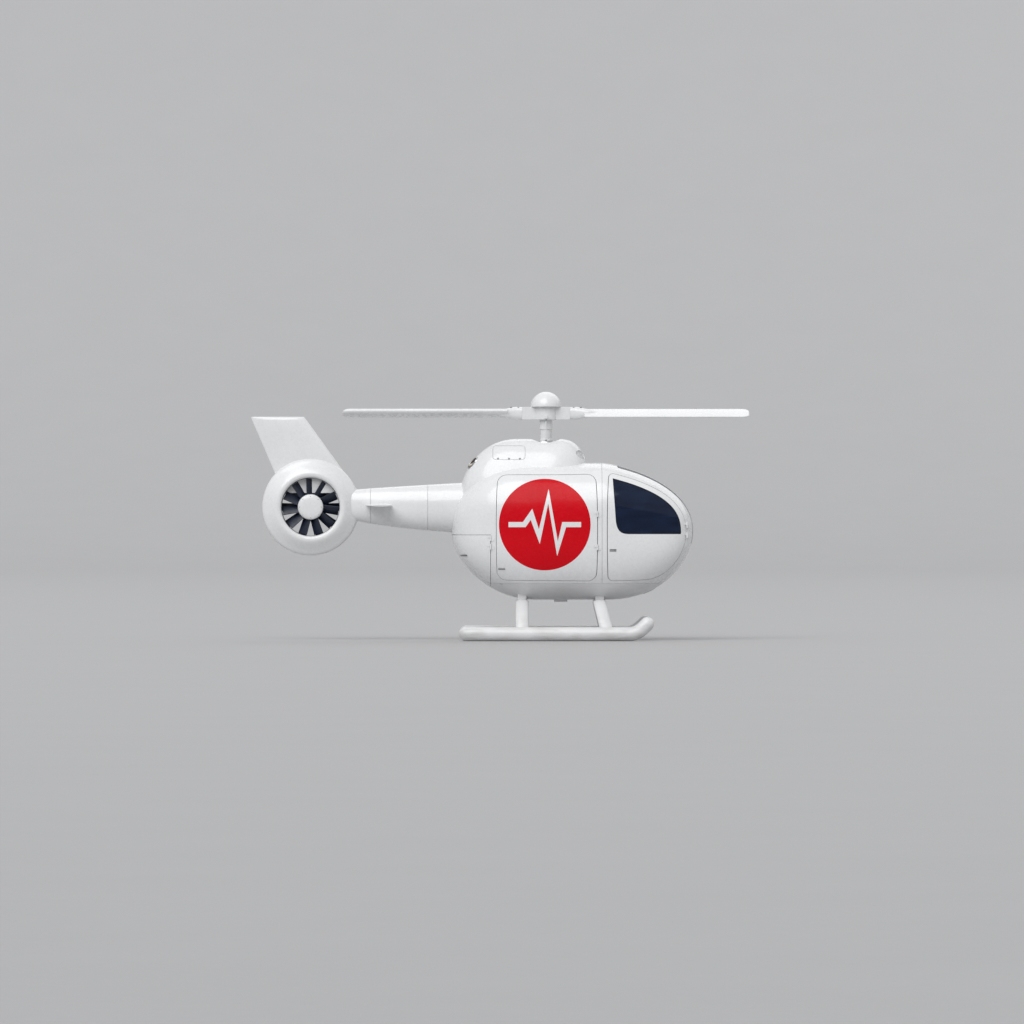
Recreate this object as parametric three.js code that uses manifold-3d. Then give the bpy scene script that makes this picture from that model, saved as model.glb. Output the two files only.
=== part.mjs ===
// A light ambulance helicopter: a round hollow cabin with a humped engine cowling, a two-bladed main rotor
// under a dome, a tapering boom with a ducted tail fan and a swept fin, and a pair of skids.
// Millimetres, +X towards the nose, +Y to port, +Z up. The origin is on the ground below the middle of the
// whole length.
import * as THREE from "three";
import { mergeVertices } from "three/addons/utils/BufferGeometryUtils.js";
import Module from "manifold-3d";

const wasm = await Module();
wasm.setup();

// Driving sizes
const GAP = 0.3; // air between two pieces that touch
const WALL = 50; // cabin skin with its frames and lining
const SEAM = 10; // air round a door

const POD = { tail: -808, nose: 3215, belly: 675, waist: 1833, roof: 2950, half: 950 };
// Side outline of the cabin: cubic curves as [start, handle, handle, end]
const POD_CURVES = {
  roofFront: [[1716, POD.roof], [1811, POD.roof], [POD.nose, 2706], [POD.nose, POD.waist]],
  bellyFront: [[1783, POD.belly], [2715, POD.belly], [POD.nose, 1316], [POD.nose, POD.waist]],
  roofRear: [[450, POD.roof], [-250, POD.roof], [POD.tail, 2500], [POD.tail, POD.waist]],
  bellyRear: [[597, POD.belly], [-186, POD.belly], [POD.tail, 1301], [POD.tail, POD.waist]],
};
const POD_PLAN = { frontFrom: 1300, frontPower: 3.8, rearFrom: 900, rearPower: 2.5 };
const POD_MESH = { stations: 17, around: 22 };
const SECTION_POWER = 2.8; // squareness of the cabin's cross-section
const BEYOND = { rear: -1000, front: 3400, half: 1100, bottom: 500, top: 3100 }; // all round the cabin

const SILL_Z = 945; // joint line between the belly tub and the frames above it
const PILLAR_X = 1690; // joint line in the pillar between the two side doors
const TAILGATE = { x: -150, top: 1760 }; // the rear doors lie behind x and below top
const SCREEN = { rear: 1950, sill: 1600, half: 430, post: 28 };
const GLASS = { outside: 10, inside: 22 }; // depths of the panes' faces below the skin

const DOOR_FRONT = [
  [[1885, 2818], [3040, 2560], [3145, 2090], [3145, 1767]],
  [[3145, 1767], [3120, 1390], [2820, 965], [2400, 965]],
  [[1865, 965], [1810, 965], [1775, 1000], [1775, 1055]],
  [[1775, 2740], [1775, 2805], [1820, 2832], [1885, 2818]],
];
const DOOR_WINDOW = [
  [[1867, 2692], [2991, 2405], [3000, 2012], [3000, 1767]],
  [[2130, 1767], [1990, 1767], [1930, 1830], [1915, 2000]],
];
const CABIN_DOOR = { x0: -80, x1: 1615, z0: 965, z1: 2800, corner: 150, cornerSteps: 4 };
const DRAFT = 0.2; // how much a side door narrows on its way in, so that it can swing out
const DOOR_CUT = 150; // how far a door's cutting prism starts from the centre plane and ends beyond the skin
const LINE_STEPS = { door: 5, window: 7 }; // straight edges a curve of an outline gets

// Hinge lines stand just off the skin; each door knuckle rests on a frame knuckle at these heights.
// The leaves are drawn from inwards to outwards of the hinge line and then cut to the skin.
const HINGE = { radius: 13, sides: 8, tall: 48, lift: 4 };
const HINGE_LEAF = { reach: 62, overlap: 2, inwards: 200, frameOut: 20, doorOut: 60 };
const HINGE_WEB = { overlap: 3, inwards: 5, outwards: 9 }; // what ties a door knuckle to its leaf
const HINGE_LINES = {
  pilotDoor: { x: 3101, y: 669, heights: [1745, 1915], proud: 28, grip: 17 },
  cabinDoor: { x: 1612, y: 968, heights: [1550, 2100], proud: 20, grip: 2 },
  rearDoor: { x: -155, y: 842, heights: [1560, 1700], proud: 28, grip: 2 },
};

const COWL = { front: 1475, rear: -688, top: 3350, base: 2200, half: 580, wall: 35, power: 2.5 };
const COWL_MESH = { stations: 11, around: 22 };
const COWL_CURVES = {
  front: [[989, COWL.top], [1422, COWL.top], [COWL.front, 2901], [COWL.front, 2600]],
  rear: [[296, COWL.top], [-415, COWL.top], [COWL.rear, 2680], [COWL.rear, 2300]],
};
const COWL_PLAN = { rearFrom: 400, frontFrom: 700, power: 2.6, least: 20 };
const COWL_BOX = { x0: -1000, x1: 1600, half: 700, z0: 2300, z1: 3500 }; // what is kept of the cowling's form
const WELL = { radius: 262, bottom: 3000, sides: 32 }; // opening in the cowling round the mast
const INTAKE = { y: 190, z: 3085, halfWide: 115, halfTall: 75, x: 1100 };
const GRILLE = { outside: 8, inside: 26 }; // depths of the grilles' faces below the skin
const EXHAUST = { y: 150, z: 2950, radius: 88, wall: 8, air: 8, inner: -120, outer: -640, proud: 14 };
const EXHAUST_FLOOR = 30; // thickness of the plate that closes a pipe's inner end
const ENGINE = { rear: EXHAUST.inner + GAP, front: 430, half: 255, bottom: 2700, top: 3110 };
const DRIVE = { z: 3030, radius: 60, sunk: 10 };
const GEARBOX = { bottom: 2900, radius: 205, crown: 150, sides: 20 };
const OVAL_SIDES = 20;

const ROTOR = { x: 765, z: 3775, bar: 217 }; // bar is the height of hub and cuffs
const BLADE = { root: 640, radius: 3385, chord: 430, thick: 104, pitch: 15, tip: 110 };
const PITCH_AXIS = 0.42; // share of the chord behind the leading edge at which a blade turns
const TIP_SCALES = [0.9, 0.66, 0.3]; // how a blade's section shrinks over its round tip
// distance from the rotor's axis, half width, half height
const CUFF_SECTIONS = [
  [400, 92, ROTOR.bar / 2 - 2],
  [520, 100, ROTOR.bar / 2 - 2],
  [700, 130, 70],
  [860, 90, 34],
];
const CUFF_MESH = { around: 14, power: 0.7 };
const HUB = { radius: 185, sides: 28, arm: 400, armHalf: 88, armInset: 4 };
const MAST = { radius: 108, bottom: 3215, sides: 24 };
const DOME = { radius: 258, height: 250, around: 24, up: 12 };
const SWASHPLATE = { z0: 3258, z1: 3312, radius: 232, sides: 28 };
const LINK = { y: 210, radius: 14, sides: 10, top: -92, sunk: 10 }; // top is below the rotor's middle
const HORN = { half: 35, from: 60, beyond: 26, tall: 50 }; // carries a link's upper end

const DUCT = { x: -3150, z: 2217, bore: 479, outer: 808, lip: 215, rim: 62, sides: 36 };
const FAN = { blades: 11, root: 165, tip: 468, chord: 172, thick: 14, pitch: 32, y0: -122, y1: -18 };
const FAN_HUB = { radius: 205, shaft: 60, sides: 28 };
const FAN_SWEEP = { beyond: 20, behind: 24, sides: 40 }; // blades are drawn too long, then cut to a circle
const FAN_CAP = { radius: 212, rim: 26, crown: 120, height: 56 };
const STATOR = { vanes: 10, root: 140, chord: 165, thick: 12, pitch: 38, y0: 12, y1: 175 };
const STATOR_BOSS = { radius: 190, end: 150 };
const BOOM = { wall: 28, power: 2.3, around: 18 };
// x, top z, bottom z, half width
const BOOM_SECTIONS = [
  [-560, 2622, 1776, 318],
  [-820, 2610, 1794, 306],
  [-1450, 2572, 1846, 250],
  [-2050, 2534, 1922, 196],
  [-2383, 2508, 1983, 166],
  [-2620, 2490, 2030, 120],
];
const STAB = { x: -2010, z: 2240, chord: 430, thick: 54, half: 960 };
// z, leading edge x, trailing edge x, half thickness
const FIN_SECTIONS = [
  [2300, -2240, -3545, 78],
  [2517, -2383, -3636, 76],
  [2783, -2583, -3750, 70],
  [3717, -3258, -4150, 44],
];
const FIN_BOX = { x0: -4300, x1: -2200, half: 200, z0: 2500, z1: 3800 }; // what is kept of the fin's form
// share of the chord, share of the half thickness
const WING_SECTION = [[0, 0], [0.02, 0.45], [0.08, 0.8], [0.28, 1], [0.6, 0.72], [1, 0.12]];

const SKID = { y: 1020, z: 116.5, radius: 116.5, rear: -683, straight: 2120, sides: 14 };
const SKID_CAP = [0.22, 0.62, 0.88]; // how the sections shrink towards a skid's round ends
const TOE = { x: 2433, z: 283, handle: 90, handleRear: 150, steps: 7 };
const LEG = { chord: 217, thick: 96, around: 10, belowBelly: 2, foot: 60, furthest: 1.2 };
// y, height above the straight run under the belly
const LEG_BEND = [[0, 0], [250, 0], [480, 18], [640, -10], [800, -120], [930, -270]];
const SADDLE = { y: 430, halfLong: 85, halfWide: 55, below: 20, above: 120 };
// name, x at the belly, x at the skid
const LEGS = [
  ["front", 1655, 1750],
  ["rear", 367, 367],
];

const LIGHT = { x: 2480, radius: 95, proud: 10, bottom: 600, top: 1100, sides: 20 };
const HOOK_PLATE = { x0: 900, x1: 1120, half: 110, z0: 640 };

const FLOOR = { thick: 30, half: 1000, top: 935, rear: -125, step: 2460, stepTop: 1070, front: 2950 };
const ON_FLOOR = FLOOR.top + GAP;
const ON_STEP = FLOOR.stepTop + GAP;
const SEAT_Y = 425;
// Furniture as boxes [x0, x1, y0, y1, z0, z1]; a seat's are drawn about y = 0
const SEAT_BOXES = [
  [2070, 2430, -170, 170, ON_FLOOR, 1200], // pedestal
  [2010, 2510, -230, 230, 1190, 1290], // cushion
  [1910, 2030, -230, 230, 1230, 2170], // back
  [1920, 2000, -130, 130, 2150, 2340], // head rest
];
const PANEL_BOXES = [
  [2760, 2880, -420, 420, 1330, 1690], // face
  [2680, 2900, -450, 450, 1680, 1720], // glare shield
  [2500, 2800, -95, 95, ON_STEP, 1350], // pedestal
];
const STRETCHER_BOXES = [
  [-60, 1560, -650, -170, 1250, 1330], // litter
  [-30, 1530, -625, -195, 1325, 1400], // mattress
  [60, 150, -540, -220, ON_FLOOR, 1260], // rear leg
  [1400, 1490, -540, -220, ON_FLOOR, 1260], // front leg
];
const STRETCHER_INSET = 70; // its corners are cut back to this depth below the cabin's outer form
const ATTENDANT_BOXES = [
  [650, 1110, 240, 700, 1230, 1330], // cushion
  [720, 1040, 330, 610, ON_FLOOR, 1240], // pedestal
  [560, 670, 240, 700, 1270, 1960], // back
];
// Control sticks: x, z of each part's ends and its radius
const STICK = {
  boot: { x: 2640, height: 60, radius: 60, neck: 24, sides: 10 },
  rod: { x: 2605, z: 1480, sunk: 10, radius: 16, sides: 8 },
  grip: { x: 2590, z: 1600, overlap: 10, radius: 24 },
};

// Paints and materials: colour, roughness, metalness
const FINISH = {
  white: [0xf4f5f4, 0.25, 0],
  navy: [0x0a1020, 0.4, 0],
  glass: [0x0b1422, 0.05, 0],
  metal: [0x9a9da1, 0.35, 1],
  dark: [0x24272b, 0.6, 0],
  trim: [0x4a4e54, 0.8, 0],
  fabric: [0x30343b, 0.9, 0],
  lamp: [0xe8ecf0, 0.1, 0],
};

const helicopter = new THREE.Group();

function add(name, finish, shape) {
  const [color, roughness, metalness] = FINISH[finish];
  const material = new THREE.MeshStandardMaterial({ color, roughness, metalness });
  const geometry = shape.isBufferGeometry ? shape : geometryOf(shape);
  const mesh = new THREE.Mesh(geometry, material);
  mesh.name = name;
  helicopter.add(mesh);
}

// Solids and booleans

function solid(geometry) {
  const bare = geometry.clone();
  bare.deleteAttribute("normal");
  bare.deleteAttribute("uv");
  const merged = mergeVertices(bare, 1e-3);
  return new wasm.Manifold(
    new wasm.Mesh({
      numProp: 3,
      vertProperties: merged.attributes.position.array,
      triVerts: new Uint32Array(merged.index.array),
    }),
  );
}

function geometryOf(shape) {
  const mesh = shape.getMesh();
  const geometry = new THREE.BufferGeometry();
  geometry.setAttribute("position", new THREE.BufferAttribute(mesh.vertProperties, 3));
  geometry.setIndex(new THREE.BufferAttribute(mesh.triVerts, 1));
  geometry.computeVertexNormals();
  return geometry;
}

function join(...shapes) {
  return shapes.reduce((all, next) => all.add(next));
}

function skinOf(points, faces) {
  const geometry = new THREE.BufferGeometry();
  geometry.setAttribute("position", new THREE.Float32BufferAttribute(points.flat(), 3));
  geometry.setIndex(faces);
  return geometry;
}

// A solid from a closed skin whose faces may all be turned inwards
function turnedOut(geometry) {
  const made = solid(geometry);
  if (made.volume() > 0) return made;
  const { array } = geometry.index;
  for (let i = 0; i < array.length; i += 3) [array[i], array[i + 1]] = [array[i + 1], array[i]];
  return solid(geometry);
}

// A solid box between two corners
function block(x0, x1, y0, y1, z0, z1) {
  const box = new THREE.BoxGeometry(x1 - x0, y1 - y0, z1 - z0);
  return solid(box.translate((x0 + x1) / 2, (y0 + y1) / 2, (z0 + z1) / 2));
}

function blocks(boxes) {
  return join(...boxes.map((box) => block(...box)));
}

// A cylinder of radius r between two points
function rod(from, to, r, sides = 12, rEnd = r) {
  const a = new THREE.Vector3(...from);
  const b = new THREE.Vector3(...to);
  const cylinder = new THREE.CylinderGeometry(rEnd, r, a.distanceTo(b), sides);
  const along = b.clone().sub(a).normalize();
  cylinder.applyQuaternion(new THREE.Quaternion().setFromUnitVectors(new THREE.Vector3(0, 1, 0), along));
  return solid(cylinder.translate(...a.add(b).multiplyScalar(0.5).toArray()));
}

// A closed skin through rings of points; each ring is an array of [x, y, z] and both ends are capped
function loft(rings) {
  const count = rings[0].length;
  const points = rings.flat();
  const faces = [];
  for (let ring = 0; ring < rings.length - 1; ring++) {
    for (let i = 0; i < count; i++) {
      const a = ring * count + i;
      const b = ring * count + ((i + 1) % count);
      faces.push(a, b, b + count, a, b + count, a + count);
    }
  }
  for (const [ring, flip] of [[0, true], [rings.length - 1, false]]) {
    const centre = points.length;
    const sum = rings[ring].reduce((s, p) => s.map((v, k) => v + p[k] / count), [0, 0, 0]);
    points.push(sum);
    for (let i = 0; i < count; i++) {
      const a = ring * count + i;
      const b = ring * count + ((i + 1) % count);
      faces.push(...(flip ? [b, a, centre] : [a, b, centre]));
    }
  }
  return turnedOut(skinOf(points, faces));
}

// Curves

function bezier([p0, p1, p2, p3], t) {
  const u = 1 - t;
  const [a, b, c, d] = [u ** 3, 3 * u * u * t, 3 * u * t * t, t ** 3];
  return [0, 1].map((k) => a * p0[k] + b * p1[k] + c * p2[k] + d * p3[k]);
}

// Height of a curve at x; the curve's x only grows or only falls along it
function heightAt(curve, x) {
  const grows = curve[3][0] > curve[0][0];
  let low = 0;
  let high = 1;
  for (let step = 0; step < 40; step++) {
    const middle = (low + high) / 2;
    if (bezier(curve, middle)[0] < x === grows) low = middle;
    else high = middle;
  }
  return bezier(curve, (low + high) / 2)[1];
}

function signedPower(value, power) {
  return Math.sign(value) * Math.abs(value) ** power;
}

// A superellipse ring in the plane x, centred between top and bottom
function ring(x, top, bottom, half, power, count) {
  const middle = (top + bottom) / 2;
  const reach = (top - bottom) / 2;
  return Array.from({ length: count }, (_, i) => {
    const angle = (2 * Math.PI * (i + 0.5)) / count;
    return [
      x,
      half * signedPower(Math.cos(angle), 2 / power),
      middle + reach * signedPower(Math.sin(angle), 2 / power),
    ];
  });
}

// An outline in the XZ plane from curves, as points; a straight edge runs from each curve to the next
function outlinePoints(curves, steps) {
  const points = curves.flatMap((curve) =>
    Array.from({ length: steps + 1 }, (_, i) => bezier(curve, i / steps)),
  );
  return points.filter(([x, z], i) => {
    const [nextX, nextZ] = points[(i + 1) % points.length];
    return Math.hypot(nextX - x, nextZ - z) > 1;
  });
}

// A prism along Y from an XZ outline, which has its true size at the cabin's full half width and narrows
// by draft on its way in
function prism(points, draft = 0) {
  const shape = new THREE.Shape(points.map(([x, z]) => new THREE.Vector2(x, z)));
  const flat = THREE.ShapeUtils.isClockWise(shape.getPoints()) ? points.slice().reverse() : points;
  const centre = [0, 1].map((k) => flat.reduce((s, p) => s + p[k], 0) / flat.length);
  const count = flat.length;
  const end = (y) =>
    flat.map((p) => {
      const away = Math.hypot(p[0] - centre[0], p[1] - centre[1]);
      const keep = (away - draft * (POD.half - y)) / away;
      return [centre[0] + (p[0] - centre[0]) * keep, y, centre[1] + (p[1] - centre[1]) * keep];
    });
  const corners = [...end(DOOR_CUT), ...end(POD.half + DOOR_CUT)];
  const cap = THREE.ShapeUtils.triangulateShape(flat.map(([x, z]) => new THREE.Vector2(x, z)), []);
  const faces = cap.flatMap(([a, b, c]) => [a, b, c, a + count, c + count, b + count]);
  for (let i = 0; i < count; i++) {
    const j = (i + 1) % count;
    faces.push(i, i + count, j + count, i, j + count, j);
  }
  return turnedOut(skinOf(corners, faces));
}

// The same outline, moved outwards by distance along its own normals
function grown(points, distance) {
  const turn = THREE.ShapeUtils.isClockWise(points.map(([x, z]) => new THREE.Vector2(x, z))) ? -1 : 1;
  return points.map((p, i) => {
    const before = points[(i + points.length - 1) % points.length];
    const after = points[(i + 1) % points.length];
    const along = [after[0] - before[0], after[1] - before[1]];
    const length = Math.hypot(...along);
    return [p[0] + (turn * distance * along[1]) / length, p[1] - (turn * distance * along[0]) / length];
  });
}

function roundedRectangle({ x0, x1, z0, z1, corner, cornerSteps }) {
  const corners = [
    [x1 - corner, z1 - corner, 0],
    [x0 + corner, z1 - corner, 90],
    [x0 + corner, z0 + corner, 180],
    [x1 - corner, z0 + corner, 270],
  ];
  return corners.flatMap(([x, z, from]) =>
    Array.from({ length: cornerSteps + 1 }, (_, i) => {
      const angle = THREE.MathUtils.degToRad(from + (90 * i) / cornerSteps);
      return [x + corner * Math.cos(angle), z + corner * Math.sin(angle)];
    }),
  );
}

// Mirror in the plane y = 0
function mirrored(shape) {
  return shape.mirror([0, 1, 0]);
}

function bothSides(shape) {
  return shape.add(mirrored(shape));
}

// The one body that is left when a cut drops slivers
function largest(shape) {
  return shape.decompose().sort((a, b) => b.volume() - a.volume())[0];
}

// A piece with the air round it that its neighbours leave
function clearOf(shape) {
  const steps = [[GAP, 0, 0], [-GAP, 0, 0], [0, GAP, 0], [0, -GAP, 0], [0, 0, GAP], [0, 0, -GAP]];
  return join(...steps.map((step) => shape.translate(step)));
}

// Both sides of a piece that is drawn to port
function addPair(name, finish, shape) {
  add(`${name}_left`, finish, shape);
  add(`${name}_right`, finish, mirrored(shape));
}

// Cabin

function podHalfWidth(x) {
  const { frontFrom, frontPower, rearFrom, rearPower } = POD_PLAN;
  const front = Math.max(0, (x - frontFrom) / (POD.nose - frontFrom));
  const rear = Math.max(0, (rearFrom - x) / (rearFrom - POD.tail));
  const power = x > frontFrom ? frontPower : rearPower;
  const share = Math.min(1, Math.max(front, rear));
  return POD.half * (1 - share ** power) ** (1 / power);
}

function podHeight(x, front, rear, between) {
  if (x > front[0][0]) return heightAt(front, x);
  if (x < rear[0][0]) return heightAt(rear, x);
  return between;
}

function podTop(x) {
  return podHeight(x, POD_CURVES.roofFront, POD_CURVES.roofRear, POD.roof);
}

function podBottom(x) {
  return podHeight(x, POD_CURVES.bellyFront, POD_CURVES.bellyRear, POD.belly);
}

function podOutside() {
  const { stations, around } = POD_MESH;
  const rings = Array.from({ length: stations - 1 }, (_, i) => {
    const swing = (Math.PI * (i + 1)) / stations;
    const x = POD.tail + ((POD.nose - POD.tail) * (1 - Math.cos(swing))) / 2;
    return ring(x, podTop(x), podBottom(x), podHalfWidth(x), SECTION_POWER, around);
  });
  return loft(rings);
}

const podFull = podOutside();
const podMiddle = [(POD.tail + POD.nose) / 2, 0, (POD.belly + POD.roof) / 2];
const podReach = [(POD.nose - POD.tail) / 2, POD.half, (POD.roof - POD.belly) / 2];

// The cabin's outer form, drawn in by depth on every side
function podInset(depth) {
  const scale = podReach.map((reach) => (reach - depth) / reach);
  const back = podMiddle.map((m) => -m);
  return podFull.translate(back).scale(scale).translate(podMiddle);
}

const shell = podInset(0).subtract(podInset(WALL));
const podClear = podInset(-GAP); // what pieces outside the cabin are cut back to
const podInside = podInset(WALL + GAP); // what pieces inside it are cut back to

const frontDoorLine = outlinePoints(DOOR_FRONT, LINE_STEPS.door);
const windowLine = outlinePoints(DOOR_WINDOW, LINE_STEPS.window);
const cabinDoorLine = roundedRectangle(CABIN_DOOR);
const frontDoorway = bothSides(prism(grown(frontDoorLine, SEAM / 2), DRAFT));
const cabinDoorway = bothSides(prism(grown(cabinDoorLine, SEAM / 2), DRAFT));
const screenHalf = block(SCREEN.rear, BEYOND.front, SCREEN.post, SCREEN.half, SCREEN.sill, BEYOND.top);
const fullWidth = [-BEYOND.half, BEYOND.half];
const tailgateway = block(BEYOND.rear, TAILGATE.x, ...fullWidth, BEYOND.bottom, TAILGATE.top);
const openings = join(frontDoorway, cabinDoorway, bothSides(screenHalf), tailgateway);
const frames = shell.subtract(openings);

const hingeLifted = podInset(-HINGE.lift);
const hingeRoots = podInset(-2 * HINGE.lift);
const hingeDepth = podInset(WALL / 2);

// The frame's half of a door's hinges: a knuckle below each height with a leaf running forward
function frameHinges({ x, y, heights, proud }) {
  const { radius, sides, tall } = HINGE;
  const { reach, overlap, inwards, frameOut } = HINGE_LEAF;
  return join(
    ...heights.map((z) => {
      const leaf = block(x - overlap, x + reach, y - inwards, y + frameOut, z - tall, z);
      const knuckle = rod([x, y, z - tall], [x, y, z], radius, sides);
      return join(leaf.intersect(podInset(-proud)).subtract(hingeDepth), knuckle);
    }),
  );
}

// The door's half: a knuckle above each height, with a leaf that clears the frame's edge and grips the door
function doorHinges({ x, y, heights, proud, grip }, doorBody) {
  const { radius, sides, tall } = HINGE;
  const { reach, inwards, doorOut } = HINGE_LEAF;
  return join(
    ...heights.map((z) => {
      const bottom = z + GAP;
      const top = bottom + tall;
      const leaf = block(x - reach, x - grip, y - inwards, y + doorOut, bottom, top);
      const above = leaf.intersect(podInset(-proud)).subtract(hingeLifted);
      const root = leaf.intersect(doorBody).intersect(hingeRoots).subtract(hingeDepth);
      const webFrom = x - grip - HINGE_WEB.overlap;
      const web = block(webFrom, x, y - HINGE_WEB.inwards, y + HINGE_WEB.outwards, bottom, top);
      return join(above, root, web, rod([x, y, bottom], [x, y, top], radius, sides));
    }),
  );
}

function addFloor() {
  const { thick, half, top, rear, step, stepTop, front } = FLOOR;
  const main = block(rear, step, -half, half, top - thick, top);
  const riser = block(step - thick, step, -half, half, top - thick, stepTop);
  const footwell = block(step - 1, front, -half, half, stepTop - thick, stepTop);
  const behindDoors = podInset(WALL + SEAM + GAP);
  add("cabin_floor", "trim", main.intersect(podInside).add(join(riser, footwell).intersect(behindDoors)));
}

function addCabin() {
  const { rear, front, bottom, top } = BEYOND;
  const tub = frames.intersect(block(rear, front, ...fullWidth, bottom, SILL_Z - GAP / 2));
  const { x0, x1, half, z0 } = HOOK_PLATE;
  add("belly_tub", "white", join(tub, block(x0, x1, -half, half, z0, POD.belly + WALL / 2)));
  const above = [...fullWidth, SILL_Z + GAP / 2, top];
  const { pilotDoor, cabinDoor, rearDoor } = HINGE_LINES;
  const cockpit = frames.intersect(block(PILLAR_X + GAP / 2, front, ...above));
  const cabin = frames.intersect(block(rear, PILLAR_X - GAP / 2, ...above));
  add("cockpit_frame", "white", join(cockpit, bothSides(frameHinges(pilotDoor))));
  const cabinHinges = join(frameHinges(cabinDoor), frameHinges(rearDoor));
  add("cabin_frame", "white", join(cabin, bothSides(cabinHinges)));
}

function addGlass() {
  const { rear, sill, half, post } = SCREEN;
  const pane = podInset(GLASS.outside).subtract(podInset(GLASS.inside));
  const screen = block(rear + GAP, BEYOND.front, post + GAP, half - GAP, sill + GAP, BEYOND.top);
  addPair("windscreen", "glass", pane.intersect(screen));
  addPair("door_window", "glass", pane.intersect(prism(grown(windowLine, -GAP))));
}

function addDoors() {
  const pilot = prism(grown(frontDoorLine, -SEAM / 2), DRAFT);
  const pilotHinges = doorHinges(HINGE_LINES.pilotDoor, pilot);
  addPair("pilot_door", "white", shell.intersect(pilot).subtract(prism(windowLine)).add(pilotHinges));
  const cabin = prism(grown(cabinDoorLine, -SEAM / 2), DRAFT);
  addPair("cabin_door", "white", shell.intersect(cabin).add(doorHinges(HINGE_LINES.cabinDoor, cabin)));
  const gateTop = TAILGATE.top - SEAM;
  const gate = block(BEYOND.rear, TAILGATE.x - SEAM, SEAM / 2, BEYOND.half, BEYOND.bottom, gateTop);
  addPair("rear_door", "white", shell.intersect(gate).add(doorHinges(HINGE_LINES.rearDoor, gate)));
}

// Inside the cabin

function controlStick() {
  const { boot, rod: shaft, grip } = STICK;
  const neckZ = ON_STEP + boot.height;
  const foot = rod([boot.x, 0, ON_STEP], [boot.x, 0, neckZ], boot.radius, boot.sides, boot.neck);
  const stick = rod([boot.x, 0, ON_STEP + shaft.sunk], [shaft.x, 0, shaft.z], shaft.radius, shaft.sides);
  const handle = rod([shaft.x, 0, shaft.z - grip.overlap], [grip.x, 0, grip.z], grip.radius, shaft.sides);
  return join(stick, handle, foot);
}

function addInterior() {
  for (const [side, y] of [["left", SEAT_Y], ["right", -SEAT_Y]]) {
    add(`pilot_seat_${side}`, "fabric", blocks(SEAT_BOXES).translate([0, y, 0]).intersect(podInside));
    add(`cyclic_stick_${side}`, "dark", controlStick().translate([0, y, 0]).intersect(podInside));
  }
  add("instrument_panel", "dark", blocks(PANEL_BOXES).intersect(podInside));
  add("stretcher", "fabric", blocks(STRETCHER_BOXES).intersect(podInset(STRETCHER_INSET)));
  add("attendant_seat", "fabric", blocks(ATTENDANT_BOXES));
}

// Engine deck

function cowlHeight(x) {
  const { front, rear } = COWL_CURVES;
  if (x > front[0][0]) return heightAt(front, x);
  if (x < rear[0][0]) return heightAt(rear, x);
  return COWL.top;
}

// The cowling's form, drawn in by inset
function cowlForm(inset) {
  const { stations, around } = COWL_MESH;
  const { front, rear, base, half, power } = COWL;
  const { rearFrom, frontFrom, power: planPower, least } = COWL_PLAN;
  const from = rear + inset;
  const to = front - inset;
  const rings = Array.from({ length: stations - 1 }, (_, i) => {
    const share = (1 - Math.cos((Math.PI * (i + 1)) / stations)) / 2;
    const outer = rear + (front - rear) * share;
    const height = cowlHeight(outer);
    const aft = Math.max(0, (rearFrom - outer) / (rearFrom - rear));
    const fore = Math.max(0, (outer - frontFrom) / (front - frontFrom));
    const width = half * (1 - Math.max(aft, fore) ** planPower) ** (1 / planPower) - inset;
    const top = height - inset;
    const bottom = 2 * base - height + inset;
    return ring(from + (to - from) * share, top, bottom, Math.max(least, width), power, around);
  });
  return loft(rings);
}

// The boom's form through some of its sections, grown by distance
function boomForm(sections, distance) {
  const { power, around } = BOOM;
  return loft(
    sections.map(([x, top, bottom, half]) =>
      ring(x, top + distance, bottom - distance, half + distance, power, around),
    ),
  );
}

const boomClear = boomForm(BOOM_SECTIONS, GAP);

// An oval tube along X, grown by distance
function ovalAlongX({ y, z, halfWide, halfTall }, x0, x1, distance) {
  const tube = new THREE.CylinderGeometry(1, 1, x1 - x0, OVAL_SIDES).rotateZ(-Math.PI / 2);
  tube.scale(1, halfWide + distance, halfTall + distance);
  return solid(tube.translate((x0 + x1) / 2, y, z));
}

function addCowling() {
  const { x0, x1, half, z0, z1 } = COWL_BOX;
  const { y, z, radius, wall, air, inner, outer, proud } = EXHAUST;
  const pipe = { y, z, halfWide: radius, halfTall: radius };
  const boreEnd = inner - EXHAUST_FLOOR;
  const well = rod([ROTOR.x, 0, WELL.bottom], [ROTOR.x, 0, z1], WELL.radius, WELL.sides);
  const intake = ovalAlongX(INTAKE, INTAKE.x, x1, 0);
  const exhaustHole = ovalAlongX(pipe, x0, boreEnd, air);
  const cowling = cowlForm(0)
    .subtract(cowlForm(COWL.wall))
    .intersect(block(x0, x1, -half, half, z0, z1))
    .subtract(podClear)
    .subtract(boomClear)
    .subtract(join(well, bothSides(intake), bothSides(exhaustHole)));
  add("engine_cowling", "white", largest(cowling));

  const grille = cowlForm(GRILLE.outside)
    .subtract(cowlForm(GRILLE.inside))
    .intersect(ovalAlongX(INTAKE, INTAKE.x, x1, -GAP))
    .subtract(podClear);
  addPair("intake_grille", "dark", largest(grille));

  const bore = ovalAlongX(pipe, outer - 1, boreEnd, -wall);
  const tube = ovalAlongX(pipe, outer, inner, 0).subtract(bore);
  addPair("exhaust_pipe", "metal", tube.intersect(cowlForm(-proud)).subtract(podClear));
}

function addEngine() {
  const { rear, front, half, bottom, top } = ENGINE;
  const core = block(rear, front, -half, half, bottom, top);
  const drive = rod([front - DRIVE.sunk, 0, DRIVE.z], [ROTOR.x, 0, DRIVE.z], DRIVE.radius);
  const foot = [ROTOR.x, 0, GEARBOX.bottom];
  const gearbox = rod(foot, [ROTOR.x, 0, MAST.bottom - GAP], GEARBOX.radius, GEARBOX.sides, GEARBOX.crown);
  add("engine", "metal", join(core, drive, gearbox).subtract(podClear));
}

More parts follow.
